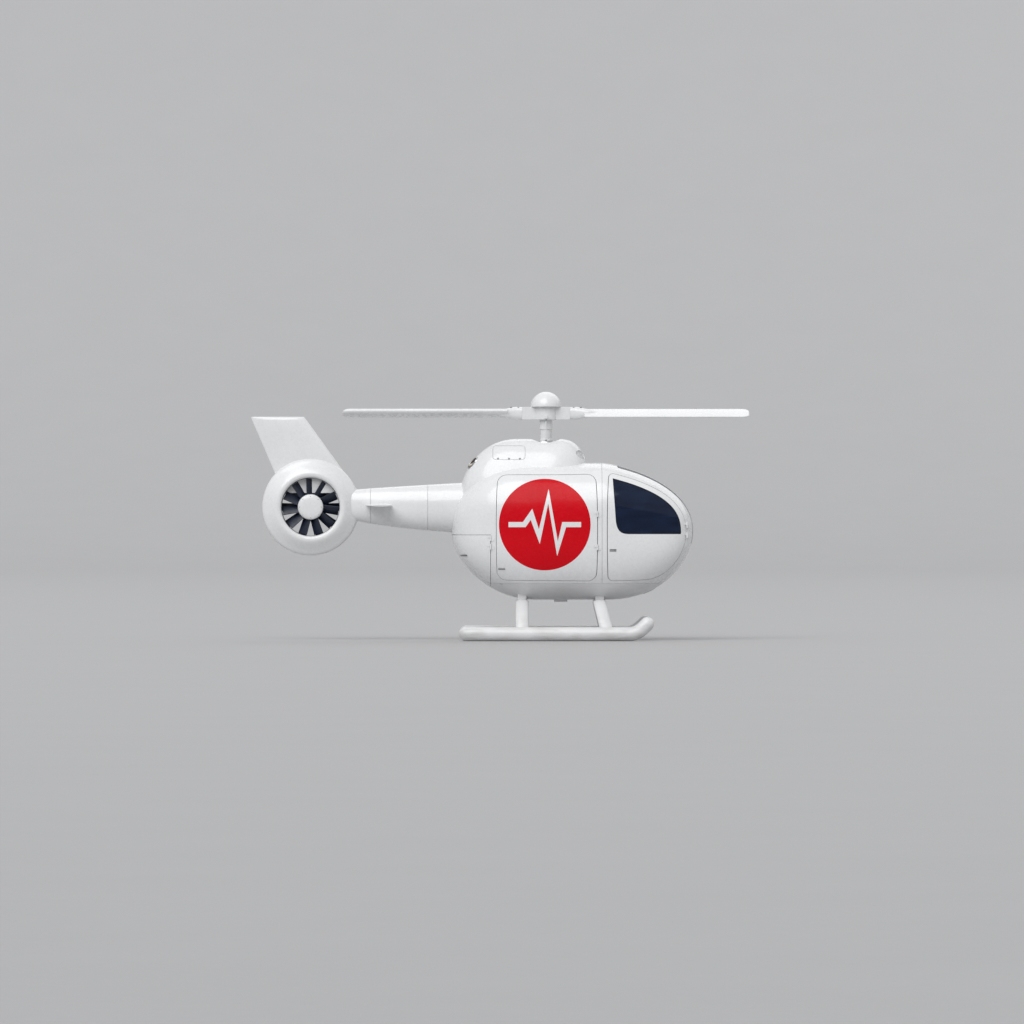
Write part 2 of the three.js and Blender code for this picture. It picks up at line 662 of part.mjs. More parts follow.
// Boom, fin and tail fan

// Half profile of the duct ring as [radius, y], from the bore round to the rim; filled starts it at the axis
function ductProfile(grow, filled) {
  const { bore, outer, lip, rim } = DUCT;
  const side = [
    [bore, lip - 60],
    [bore + 14, lip - 18],
    [bore + 50, lip + 4],
    [bore + 110, lip - 6],
    [outer - 90, rim + 62],
    [outer - 22, rim + 16],
    [outer, rim - 28],
  ];
  const port = side.map(([r, y]) => [r + (r > bore + 20 ? grow : filled ? grow : -grow), y + grow]);
  const starboard = port.map(([r, y]) => [r, -y]).reverse();
  return filled ? [[0, port[0][1]], ...port, ...starboard, [0, -port[0][1]]] : [...port, ...starboard];
}

function ductRing(grow, filled) {
  const points = ductProfile(grow, filled).map(([r, y]) => new THREE.Vector2(r, y));
  if (!filled) points.push(points[0].clone());
  return turnedOut(new THREE.LatheGeometry(points, DUCT.sides).translate(DUCT.x, 0, DUCT.z));
}

// A symmetric wing section as [share of chord, half thickness], round the whole outline
function wingSection(half) {
  const lower = WING_SECTION.slice(1).reverse().map(([c, t]) => [c, -t]);
  return [...WING_SECTION, ...lower].map(([c, t]) => [c, t * half]);
}

// The stabiliser's form, grown by distance
function stabiliserForm(distance) {
  const { x, z, chord, thick, half } = STAB;
  const rings = [-1, 1].map((side) =>
    wingSection(thick / 2 + distance).map(([c, t]) => [
      x + chord / 2 + distance - c * (chord + 2 * distance),
      side * (half + distance),
      z + t,
    ]),
  );
  return loft(rings);
}

function addTail() {
  add("stabiliser", "white", stabiliserForm(0));
  add("fan_shroud", "white", ductRing(0, false));

  const filledRing = ductRing(GAP, true);
  const boom = boomForm(BOOM_SECTIONS, 0)
    .subtract(boomForm(BOOM_SECTIONS.slice(0, -1), -BOOM.wall))
    .subtract(podClear)
    .subtract(filledRing)
    .subtract(stabiliserForm(GAP));
  add("tail_boom", "white", largest(boom));

  const finRings = FIN_SECTIONS.map(([z, lead, trail, thick]) =>
    wingSection(thick).map(([c, t]) => [lead + (trail - lead) * c, t, z]),
  );
  const { x0, x1, half, z0, z1 } = FIN_BOX;
  const fin = loft(finRings)
    .subtract(filledRing)
    .subtract(boomClear)
    .intersect(block(x0, x1, -half, half, z0, z1));
  add("tail_fin", "white", largest(fin));
}

function alongFanAxis(radius, y0, y1, sides = FAN_HUB.sides, radiusEnd = radius) {
  return rod([DUCT.x, y0, DUCT.z], [DUCT.x, y1, DUCT.z], radius, sides, radiusEnd);
}

// Blades or vanes standing out from the fan's axis between two radii; turn is the first one's share of a step
function radialPlates(count, turn, r0, r1, { chord, thick, pitch, y0, y1 }) {
  return Array.from({ length: count }, (_, i) => {
    const plate = new THREE.BoxGeometry(chord, thick, r1 - r0);
    plate.rotateZ(THREE.MathUtils.degToRad(pitch));
    plate.translate(0, (y0 + y1) / 2, (r0 + r1) / 2);
    plate.rotateY((2 * Math.PI * (i + turn)) / count);
    return solid(plate.translate(DUCT.x, 0, DUCT.z));
  });
}

function addFan() {
  const boss = alongFanAxis(STATOR_BOSS.radius, STATOR.y0, STATOR.y1, FAN_HUB.sides, STATOR_BOSS.end);
  const vanes = radialPlates(STATOR.vanes, 0.5, STATOR.root, DUCT.bore + FAN_SWEEP.beyond, STATOR);
  add("fan_stator", "navy", join(boss, ...vanes).subtract(ductRing(GAP, false)));

  const { root, tip, y0, y1 } = FAN;
  const blades = radialPlates(FAN.blades, 0, root, tip + FAN_SWEEP.beyond, FAN);
  const swept = alongFanAxis(tip, y0, y1 + FAN_SWEEP.behind, FAN_SWEEP.sides);
  const hub = alongFanAxis(FAN_HUB.radius, y0, y1);
  const shaft = alongFanAxis(FAN_HUB.shaft, y1 - 1, STATOR.y0 - GAP);
  add("fan_rotor", "navy", join(hub, shaft, ...blades.map((blade) => blade.intersect(swept))));

  const { radius, rim, crown, height } = FAN_CAP;
  const cap = alongFanAxis(radius, y0 - rim, y0 - GAP);
  const cone = alongFanAxis(crown, y0 - height, y0 - rim + 1, FAN_HUB.sides, radius);
  add("fan_cap", "white", join(cap, cone));
}

// Skids

function skidSection(at, normal) {
  const { sides } = SKID;
  return Array.from({ length: sides }, (_, i) => {
    const angle = (2 * Math.PI * i) / sides; // a flat lies underneath where sides is 4n + 2
    const reach = SKID.radius / Math.cos(Math.PI / sides);
    const across = reach * Math.cos(angle);
    const up = reach * Math.sin(angle);
    return [at[0] + normal[0] * up, SKID.y + across, at[1] + normal[1] * up];
  });
}

function skidTube() {
  const rings = [];
  for (const share of SKID_CAP) {
    const back = SKID.rear + SKID.radius * (1 - Math.sqrt(1 - share * share));
    rings.push(skidSection([back, SKID.z], [0, 1]).map((p) => [
      p[0],
      SKID.y + (p[1] - SKID.y) * share,
      SKID.z + (p[2] - SKID.z) * share,
    ]));
  }
  rings.push(skidSection([SKID.rear + SKID.radius, SKID.z], [0, 1]));
  const { x, z, handle, handleRear, steps } = TOE;
  const from = [SKID.straight, SKID.z];
  const bend = [from, [SKID.straight + handleRear, SKID.z], [x - handle, z - handle], [x, z]];
  for (let i = 0; i <= steps; i++) {
    const t = i / steps;
    const here = bezier(bend, t);
    const ahead = bezier(bend, Math.min(1, t + 0.01));
    const behind = bezier(bend, Math.max(0, t - 0.01));
    const along = [ahead[0] - behind[0], ahead[1] - behind[1]];
    const length = Math.hypot(...along);
    rings.push(skidSection(here, [-along[1] / length, along[0] / length]));
  }
  const slope = Math.SQRT1_2;
  for (const share of SKID_CAP.slice().reverse()) {
    const reach = SKID.radius * Math.sqrt(1 - share * share);
    const at = [x + reach * slope, z + reach * slope];
    rings.push(skidSection(at, [-slope, slope]).map((p) => [
      at[0] + (p[0] - at[0]) * share,
      SKID.y + (p[1] - SKID.y) * share,
      at[1] + (p[2] - at[1]) * share,
    ]));
  }
  return loft(rings);
}

// One leg bow: a flat oval tube under the belly, bent down and out to both skids
function legBow(xTop, xFoot) {
  const high = POD.belly - LEG.thick / 2 - LEG.belowBelly;
  const half = [...LEG_BEND.map(([y, rise]) => [y, high + rise]), [SKID.y, SKID.z + LEG.foot]];
  const path = [...half.slice(1).map(([y, z]) => [-y, z]).reverse(), ...half];
  const rings = path.map(([y, z], i) => {
    const before = path[Math.max(0, i - 1)];
    const after = path[Math.min(path.length - 1, i + 1)];
    const along = [after[0] - before[0], after[1] - before[1]];
    const length = Math.hypot(...along);
    const share = (high - z) / (high - SKID.radius * 2);
    const x = xTop + (xFoot - xTop) * Math.max(0, Math.min(LEG.furthest, share));
    return Array.from({ length: LEG.around }, (_, k) => {
      const angle = (2 * Math.PI * k) / LEG.around;
      const out = ((LEG.thick / 2) * Math.sin(angle)) / length;
      return [x + (LEG.chord / 2) * Math.cos(angle), y - along[1] * out, z + along[0] * out];
    });
  });
  const { y, halfLong, halfWide, below, above } = SADDLE;
  const along = [xTop - halfLong, xTop + halfLong];
  const saddle = block(...along, y - halfWide, y + halfWide, high - below, POD.belly + above);
  return join(loft(rings), bothSides(saddle));
}

function addSkids() {
  const skid = skidTube();
  addPair("skid", "white", skid);
  const skids = clearOf(bothSides(skid));
  for (const [name, xTop, xFoot] of LEGS) {
    add(`leg_bow_${name}`, "white", largest(legBow(xTop, xFoot).subtract(podClear).subtract(skids)));
  }
}

// Main rotor

function bladeSection(r, scale) {
  const pitch = THREE.MathUtils.degToRad(BLADE.pitch);
  return wingSection((BLADE.thick / 2) * scale).map(([c, t]) => {
    const back = (PITCH_AXIS - c) * BLADE.chord * scale;
    return [r, back * Math.cos(pitch) - t * Math.sin(pitch), back * Math.sin(pitch) + t * Math.cos(pitch)];
  });
}

function cuffRing([r, halfWide, halfTall]) {
  const { around, power } = CUFF_MESH;
  return Array.from({ length: around }, (_, i) => {
    const angle = (2 * Math.PI * (i + 0.5)) / around;
    const across = halfWide * signedPower(Math.cos(angle), power);
    return [r, across, halfTall * signedPower(Math.sin(angle), power)];
  });
}

function rotorBlade() {
  const { root, radius, tip } = BLADE;
  const rings = [bladeSection(root, 1), bladeSection(radius - tip, 1)];
  for (const scale of TIP_SCALES) {
    const reach = Math.sqrt((1 - scale ** 2) / (1 - TIP_SCALES.at(-1) ** 2));
    rings.push(bladeSection(radius - tip + tip * reach, scale));
  }
  return join(loft(rings), loft(CUFF_SECTIONS.map(cuffRing)));
}

// A cylinder on the rotor's axis between two heights
function alongRotorAxis(radius, z0, z1, sides) {
  return rod([ROTOR.x, 0, z0], [ROTOR.x, 0, z1], radius, sides);
}

function addDome() {
  const { radius, height, around, up } = DOME;
  const ball = solid(new THREE.SphereGeometry(radius, around, up).rotateX(Math.PI / 2));
  const upper = block(-radius, radius, -radius, radius, 0, radius);
  const dome = ball.scale([1, 1, height / radius]).intersect(upper);
  add("rotor_dome", "white", dome.translate([ROTOR.x, 0, ROTOR.z + ROTOR.bar / 2 + GAP]));
}

function addRotor() {
  const at = [ROTOR.x, 0, ROTOR.z];
  const bottom = ROTOR.z - ROTOR.bar / 2;
  const top = ROTOR.z + ROTOR.bar / 2;
  add("rotor_mast", "white", alongRotorAxis(MAST.radius, MAST.bottom, bottom - GAP, MAST.sides));

  const reach = HUB.arm - GAP;
  const tall = ROTOR.bar / 2 - HUB.armInset;
  const arm = block(-reach, reach, -HUB.armHalf, HUB.armHalf, -tall, tall).translate(at);
  const { half, from, beyond } = HORN;
  const horn = block(-half, half, from, LINK.y + beyond, LINK.top, LINK.top + HORN.tall).translate(at);
  add("rotor_hub", "white", join(alongRotorAxis(HUB.radius, bottom, top, HUB.sides), arm, bothSides(horn)));

  const blade = rotorBlade();
  add("rotor_blade_front", "white", blade.translate(at));
  add("rotor_blade_rear", "white", blade.rotate([0, 0, 180]).translate(at));

  const { z0, z1, radius, sides } = SWASHPLATE;
  const bore = alongRotorAxis(MAST.radius + GAP, z0 - 1, z1 + 1, MAST.sides);
  const foot = [ROTOR.x, LINK.y, z1 - LINK.sunk];
  const link = rod(foot, [ROTOR.x, LINK.y, ROTOR.z + LINK.top - GAP], LINK.radius, LINK.sides);
  add("swashplate", "metal", join(alongRotorAxis(radius, z0, z1, sides).subtract(bore), bothSides(link)));
}

function addLandingLight() {
  const { x, radius, proud, bottom, top, sides } = LIGHT;
  const lens = rod([x, 0, bottom], [x, 0, top], radius, sides);
  add("landing_light", "lamp", podInset(-proud).intersect(lens).subtract(podClear));
}

addFloor();
addCabin();
addGlass();
addDoors();
addInterior();
addCowling();
addEngine();
addDome();
addTail();
addFan();
addSkids();
addRotor();
addLandingLight();

export default helicopter;
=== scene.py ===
"""A light ambulance helicopter: smooth skins, glass, cabin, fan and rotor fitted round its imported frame.

Metres, +X towards the nose, +Y to port, +Z up. Most skins come from the same few outlines as the frame: a
hull is a row of superellipse sections along X, and its panels are cut from one triangulated side of it.
"""

import logging
import math
from collections.abc import Callable, Sequence
from dataclasses import dataclass, field
from enum import Enum
from functools import lru_cache

import bmesh
import bpy
import numpy as np
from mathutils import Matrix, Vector, kdtree
from mathutils.bvhtree import BVHTree
from mathutils.geometry import delaunay_2d_cdt


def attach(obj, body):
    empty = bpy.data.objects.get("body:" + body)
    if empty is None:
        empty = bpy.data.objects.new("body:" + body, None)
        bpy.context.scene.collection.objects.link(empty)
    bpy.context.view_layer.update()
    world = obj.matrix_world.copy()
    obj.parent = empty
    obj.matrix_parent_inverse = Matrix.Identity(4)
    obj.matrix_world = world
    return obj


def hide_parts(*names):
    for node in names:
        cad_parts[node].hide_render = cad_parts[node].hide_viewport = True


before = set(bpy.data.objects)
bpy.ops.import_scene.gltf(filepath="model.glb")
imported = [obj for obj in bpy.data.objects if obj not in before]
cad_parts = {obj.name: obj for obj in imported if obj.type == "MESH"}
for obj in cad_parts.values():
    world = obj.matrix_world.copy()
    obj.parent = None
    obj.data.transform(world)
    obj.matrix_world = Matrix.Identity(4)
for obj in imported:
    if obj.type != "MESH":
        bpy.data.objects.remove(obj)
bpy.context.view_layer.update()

log = logging.getLogger("helicopter")

Triple = tuple[float, float, float]
Curve = Sequence[Sequence[float]]
Socket = bpy.types.NodeSocket

MIRROR = np.array([1, -1, 1])
# Share of the pitch that the points of a grid keep from the seams
CLEARANCE = 0.55
# Shares of the chord's square root and its first four powers in a wing section's thickness
WING_SHARES = (2.969, -1.26, -3.516, 2.843, -1.015)


class Body(str, Enum):
    """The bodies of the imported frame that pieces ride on."""

    AIRFRAME = "airframe"
    ROTOR = "main_rotor"
    FAN = "tail_fan"
    PILOT_DOOR = "pilot_door"
    CABIN_DOOR = "cabin_door"
    REAR_DOOR = "rear_door"


class Side(Enum):
    """The two sides of the aircraft: the word in node names, the letter in body names, the sign of Y."""

    LEFT = ("left", "l", 1)
    RIGHT = ("right", "r", -1)

    def body(self, door: Body) -> str:
        """Name of the door body on this side."""
        return f"{door.value}_{self.value[1]}"

    def node(self, stem: str) -> str:
        """Name of the node on this side."""
        return f"{stem}_{self.value[0]}"

    @property
    def sign(self) -> int:
        """1 to port, -1 to starboard."""
        return self.value[2]


class Slot(str, Enum):
    """The record's material slots."""

    WHITE = "white_paint"
    NAVY = "navy_paint"
    GLASS = "tinted_glass"
    METAL = "bare_metal"
    PLASTIC = "dark_plastic"
    FABRIC = "seat_fabric"
    LAMP = "lamp_glass"


class Axis(Enum):
    """An axis as the columns of its two cross directions and its own."""

    X = (1, 2, 0)
    Y = (2, 0, 1)
    Z = (0, 1, 2)


# Curves and sections


def bezier(curve: Curve, steps: int) -> np.ndarray:
    """Points along a cubic curve.

    Args:
        curve: Start, two handles and end.
        steps: Number of equal steps of the parameter.

    Returns:
        The points, one a row.
    """
    t = np.linspace(0, 1, steps + 1)[:, None]
    p = np.asarray(curve, float)
    return (1 - t) ** 3 * p[0] + 3 * (1 - t) ** 2 * t * p[1] + 3 * (1 - t) * t**2 * p[2] + t**3 * p[3]


@lru_cache(maxsize=None)
def sampled(curve: Curve) -> np.ndarray:
    """Many points of a cubic curve, sorted by x and worked out once a curve."""
    points = bezier(curve, 6000)
    return points[np.argsort(points[:, 0])]


def profile_at(front: Curve, rear: Curve, level: float, x: np.ndarray) -> np.ndarray:
    """Height at X of a line that is level between two end curves.

    Args:
        front: Cubic curve of its front end, starting at the level part.
        rear: The same for its rear end.
        level: Height between them.
        x: Places along X.

    Returns:
        One height for each place.
    """
    ahead, behind = (np.interp(x, *sampled(curve).T) for curve in (front, rear))
    return np.where(x > front[0][0], ahead, np.where(x < rear[0][0], behind, level))


def flowing(points: Curve, steps: int) -> np.ndarray:
    """A smooth line through points.

    Args:
        points: What the line passes through.
        steps: Steps between two of them.

    Returns:
        The points of a Catmull-Rom spline, one a row.
    """
    p = np.asarray(points, float)
    p = np.vstack([2 * p[0] - p[1], p, 2 * p[-1] - p[-2]])
    rows = []
    for i in range(1, len(p) - 2):
        a, b, c, d = p[i - 1 : i + 3]
        for t in np.linspace(0, 1, steps, endpoint=False):
            bend = (2 * a - 5 * b + 4 * c - d) * t**2 + (3 * b - a - 3 * c + d) * t**3
            rows.append(0.5 * (2 * b + (c - a) * t + bend))
    rows.append(p[-2])
    return np.array(rows)


@lru_cache(maxsize=None)
def smoothed(curve: Curve) -> np.ndarray:
    """A smooth line through points, worked out once a line."""
    return flowing(curve, 12)


def turns(count: int) -> np.ndarray:
    """Angles all round in equal steps."""
    return np.linspace(0, 2 * math.pi, count, endpoint=False)


def unit_rows(rows: np.ndarray) -> np.ndarray:
    """The rows brought to length 1."""
    return rows / np.linalg.norm(rows, axis=1)[:, None]


def evenly(line: np.ndarray, spacing: float, closed: bool = True) -> np.ndarray:
    """The same line with points about evenly spaced.

    Args:
        line: Points of the line.
        spacing: Distance between two new points.
        closed: Whether the line runs back to its start.

    Returns:
        The new points; a closed line doesn't repeat its first one.
    """
    run = np.vstack([line, line[:1]]) if closed else line
    reach = np.concatenate([[0], np.cumsum(np.linalg.norm(np.diff(run, axis=0), axis=1))])
    count = max(3, round(reach[-1] / spacing))
    at = np.linspace(0, reach[-1], count + 1)
    if closed:
        at = at[:-1]
    return np.stack([np.interp(at, reach, run[:, k]) for k in range(run.shape[1])], axis=1)


def refined(line: np.ndarray, spacing: float, closed: bool = True) -> np.ndarray:
    """The same line with points added where two are further apart than spacing.

    Args:
        line: Points of the line.
        spacing: The most that two points may be apart.
        closed: Whether the line runs back to its start.

    Returns:
        The old and the new points.
    """
    ends = np.roll(line, -1, axis=0) if closed else line[1:]
    rows = []
    for a, b in zip(line, ends):
        count = max(1, math.ceil(np.linalg.norm(b - a) / spacing))
        rows.extend(a + (b - a) * k / count for k in range(count))
    if not closed:
        rows.append(line[-1])
    return np.array(rows)


def softened(line: np.ndarray, spacing: float, reach: int) -> np.ndarray:
    """A closed line, evenly spaced, whose corners are rounded by averaging each point with its neighbours."""
    run = evenly(line, spacing)
    return sum(np.roll(run, k, axis=0) for k in range(-reach, reach + 1)) / (2 * reach + 1)


def widened(line: np.ndarray, distance: float) -> np.ndarray:
    """A closed line in a plane, moved outwards along its own normals.

    Args:
        line: Points of the line.
        distance: How far; below 0 it moves inwards.

    Returns:
        The moved points.
    """
    along = unit_rows(np.roll(line, -1, axis=0) - np.roll(line, 1, axis=0))
    x, z = line.T
    turn = np.sign(np.sum(x * np.roll(z, -1) - np.roll(x, -1) * z))
    return line + turn * distance * np.stack([along[:, 1], -along[:, 0]], axis=1)


def rounded_box(x0: float, x1: float, z0: float, z1: float, corner: float) -> np.ndarray:
    """Outline of a rectangle with rounded corners.

    Args:
        x0: Its lowest X.
        x1: Its highest X.
        z0: Its lowest Z.
        z1: Its highest Z.
        corner: Radius of its corners.

    Returns:
        The outline's points.
    """
    rows = []
    centres = [(x1, z1, -1, -1), (x0, z1, 1, -1), (x0, z0, 1, 1), (x1, z0, -1, 1)]
    for quarter, (x, z, to_x, to_z) in enumerate(centres):
        for a in np.linspace(0, math.pi / 2, 9) + quarter * math.pi / 2:
            rows.append((x + corner * (to_x + math.cos(a)), z + corner * (to_z + math.sin(a))))
    return np.array(rows)


def drum(radius: float, low: float, high: float, edge: float) -> list[tuple[float, float]]:
    """Side of a drum with eased edges, as (radius, place along its axis) steps."""
    return [(radius - edge, low), (radius, low + edge), (radius, high - edge), (radius - edge, high)]


def ribbon(line: Curve, width: float) -> np.ndarray:
    """Outline of a band along a zigzag, with mitred corners.

    Args:
        line: Points of its middle.
        width: Its width.

    Returns:
        The outline's points.
    """
    p = np.asarray(line, float)
    along = unit_rows(np.diff(p, axis=0))
    side = np.stack([-along[:, 1], along[:, 0]], axis=1)
    offsets = [side[0]]
    for a, b in zip(side[:-1], side[1:]):
        middle = (a + b) / np.linalg.norm(a + b)
        offsets.append(middle / max(0.35, middle @ a))
    offsets.append(side[-1])
    out = np.array(offsets) * width / 2
    return np.vstack([p + out, (p - out)[::-1]])


def encloses(loop: np.ndarray, points: np.ndarray) -> np.ndarray:
    """Which points of a plane lie inside a closed line.

    Args:
        loop: The line's points.
        points: The points to test.

    Returns:
        One truth value a point.
    """
    inside = np.zeros(len(points), bool)
    px, py = points.T
    for (ax, ay), (bx, by) in zip(loop, np.roll(loop, -1, axis=0)):
        crosses = (ay > py) != (by > py)
        with np.errstate(divide="ignore", invalid="ignore"):
            inside ^= crosses & (px < (bx - ax) * (py - ay) / (by - ay) + ax)
    return inside


def welded(points: np.ndarray) -> tuple[np.ndarray, np.ndarray]:
    """Takes points closer than a hundredth of a millimetre for one.

    Args:
        points: The points.

    Returns:
        Where each different point comes first, and which of these each point is.
    """
    _, first, back = np.unique(np.round(points, 5), axis=0, return_index=True, return_inverse=True)
    return first, back.reshape(-1)


def last_within(
    low: np.ndarray, high: np.ndarray, within: Callable[[np.ndarray], np.ndarray], rounds: int = 50
) -> np.ndarray:
    """Where a test stops holding between two ends, found by halving.

    Args:
        low: Ends where it holds.
        high: Ends where it doesn't.
        within: The test, with one value in and one out for each pair of ends.
        rounds: How often each stretch is halved.

    Returns:
        The furthest values at which it is known to hold.
    """
    for _ in range(rounds):
        middle = (low + high) / 2
        held = within(middle)
        low, high = np.where(held, middle, low), np.where(held, high, middle)
    return low


@dataclass
class Hull:
    """A body whose cross-sections are superellipses along X, worked in a flat map (u, s) of its port side.

    u runs from tail to nose and s from the belly line to the roof line, both about in metres.
    """

    tail: float
    nose: float
    power: float
    half_at: Callable[[np.ndarray], np.ndarray]
    top_at: Callable[[np.ndarray], np.ndarray]
    bottom_at: Callable[[np.ndarray], np.ndarray]
    girth: tuple[float, float]
    closed: bool = True
    u_max: float = field(init=False)
    s_max: float = field(init=False)

    def __post_init__(self) -> None:
        """Works out the map's size and its table of arc length against angle."""
        self._angles = np.linspace(-math.pi / 2, math.pi / 2, 3001)
        y, z = self._unit(self._angles)
        steps = np.hypot(np.diff(y) * self.girth[0], np.diff(z) * self.girth[1])
        self._arc = np.concatenate([[0], np.cumsum(steps)])
        self.s_max = float(self._arc[-1])
        self.u_max = (self.nose - self.tail) * (math.pi / 2 if self.closed else 1)

    def _unit(self, angle: np.ndarray) -> tuple[np.ndarray, np.ndarray]:
        """Points of the unit section.

        Args:
            angle: Their directions.

        Returns:
            Their widths and heights.
        """
        c, s = np.cos(angle), np.sin(angle)
        reach = (np.abs(c) ** self.power + np.abs(s) ** self.power) ** (-1 / self.power)
        return reach * c, reach * s

    def _beside(self, share: np.ndarray) -> np.ndarray:
        """The unit section's width at a share of its height, or its height at a share of its width."""
        return (1 - np.abs(share) ** self.power) ** (1 / self.power)

    def _placed(self, x: np.ndarray, rise: np.ndarray, out: np.ndarray) -> np.ndarray:
        """Map places at X, in the direction of a height and a width of the unit section."""
        return np.stack([self.u_of(x), np.interp(np.arctan2(rise, out), self._angles, self._arc)], axis=1)

    def x_of(self, u: np.ndarray) -> np.ndarray:
        """X at map places; closed ends have their rings close together.

        Args:
            u: The places' u.

        Returns:
            One X for each.
        """
        if not self.closed:
            return self.tail + np.asarray(u)
        return self.tail + (self.nose - self.tail) * (1 - np.cos(math.pi * np.asarray(u) / self.u_max)) / 2

    def u_of(self, x: np.ndarray) -> np.ndarray:
        """Map place u at X."""
        share = np.clip((np.asarray(x) - self.tail) / (self.nose - self.tail), 0, 1)
        return np.arccos(1 - 2 * share) * self.u_max / math.pi if self.closed else share * self.u_max

    def section(self, x: np.ndarray) -> tuple[np.ndarray, np.ndarray, np.ndarray]:
        """Half width, middle height and half height of the section at x."""
        top, bottom = self.top_at(x), self.bottom_at(x)
        return self.half_at(x), (top + bottom) / 2, np.maximum((top - bottom) / 2, 1e-6)

    def points(self, place: np.ndarray) -> np.ndarray:
        """Places on the map as points of the skin.

        Args:
            place: The places.

        Returns:
            The points.
        """
        x = self.x_of(place[:, 0])
        half, middle, reach = self.section(x)
        y, z = self._unit(np.interp(place[:, 1], self._arc, self._angles))
        return np.stack([x, half * y, middle + reach * z], axis=1)

    def normals(self, place: np.ndarray) -> np.ndarray:
        """Outward unit normals of the skin.

        Args:
            place: Places on the map.

        Returns:
            One normal for each, from short steps along the map, and straight out at closed ends.
        """
        small = 2e-3
        low, high = place - [small, 0], place + [small, 0]
        low[:, 0] = np.clip(low[:, 0], small / 4, self.u_max)
        high[:, 0] = np.clip(high[:, 0], 0, self.u_max - small / 4)
        along = self.points(high) - self.points(low)
        low, high = place - [0, small], place + [0, small]
        for ends in (low, high):
            ends[:, 1] = np.clip(ends[:, 1], 0, self.s_max)
            if self.closed:
                ends[:, 0] = np.clip(ends[:, 0], small, self.u_max - small)
        normal = np.cross(self.points(high) - self.points(low), along)
        normal[np.linalg.norm(normal, axis=1) < 1e-12] = (1, 0, 0)
        normal = unit_rows(normal)
        normal[(place[:, 1] < 1e-4) | (place[:, 1] > self.s_max - 1e-4), 1] = 0
        if self.closed:
            normal[place[:, 0] < 1e-3] = (-1, 0, 0)
            normal[place[:, 0] > self.u_max - 1e-3] = (1, 0, 0)
        return unit_rows(normal)

    def place_of(self, points: np.ndarray) -> np.ndarray:
        """Map places of points of the skin."""
        half, middle, reach = self.section(points[:, 0])
        return self._placed(points[:, 0], (points[:, 2] - middle) / reach, points[:, 1] / half)

    def from_side(self, side: np.ndarray) -> np.ndarray:
        """Map places of points given by their X and Z.

        Args:
            side: X and Z of each point.

        Returns:
            The places.
        """
        _, middle, reach = self.section(side[:, 0])
        z = np.clip((side[:, 1] - middle) / reach, -1, 1)
        return self._placed(side[:, 0], z, self._beside(z))

    def from_plan(self, plan: np.ndarray, above: bool = True) -> np.ndarray:
        """Map places of points given by their X and Y, on the upper or the lower half."""
        y = np.clip(plan[:, 1] / self.section(plan[:, 0])[0], 0, 1)
        return self._placed(plan[:, 0], self._beside(y) * (1 if above else -1), y)

    def on_nose(self, y: float, s: np.ndarray) -> np.ndarray:
        """Map places ahead of the middle at a distance y from the centre plane.

        Args:
            y: The distance.
            s: The places' s.

        Returns:
            One place for each s.
        """

        def wide(u: np.ndarray) -> np.ndarray:
            """Whether the skin is still further out than y."""
            return self.points(np.stack([u, s], axis=1))[:, 1] > y

        u = last_within(np.full(len(s), self.u_max / 2), np.full(len(s), self.u_max), wide)
        return np.stack([u, s], axis=1)

    def skin_y(self, x: np.ndarray, z: np.ndarray) -> np.ndarray:
        """Distance of the skin from the centre plane at X and Z."""
        half, middle, reach = self.section(np.asarray(x, float))
        return half * self._beside(np.clip((z - middle) / reach, -1, 1))

    def y_at(self, x: float, z: float) -> float:
        """Distance of the skin from the centre plane at one place."""
        return float(self.skin_y(np.array([x]), np.array([z]))[0])

    def skin_x(self, y: np.ndarray, z: np.ndarray, inner: float, outer: float) -> np.ndarray:
        """Where lines along X leave the hull.

        Args:
            y: Their Y.
            z: Their Z.
            inner: X at which all are inside.
            outer: X at which all are outside.

        Returns:
            One X for each line.
        """

        def within(x: np.ndarray) -> np.ndarray:
            """Whether the lines are still inside at X."""
            return self.depth(np.stack([x, y, z], axis=1)) < 1

        return last_within(np.full(len(y), inner), np.full(len(y), outer), within)

    def depth(self, points: np.ndarray) -> np.ndarray:
        """How deep points lie in the hull.

        Args:
            points: The points.

        Returns:
            Below 1 for those inside and above 1 for those outside.
        """
        half, middle, reach = self.section(points[:, 0])
        across, up = np.abs(points[:, 1] / half), np.abs((points[:, 2] - middle) / reach)
        inside = across**self.power + up**self.power
        return np.where((points[:, 0] < self.tail) | (points[:, 0] > self.nose), 9.0, inside)


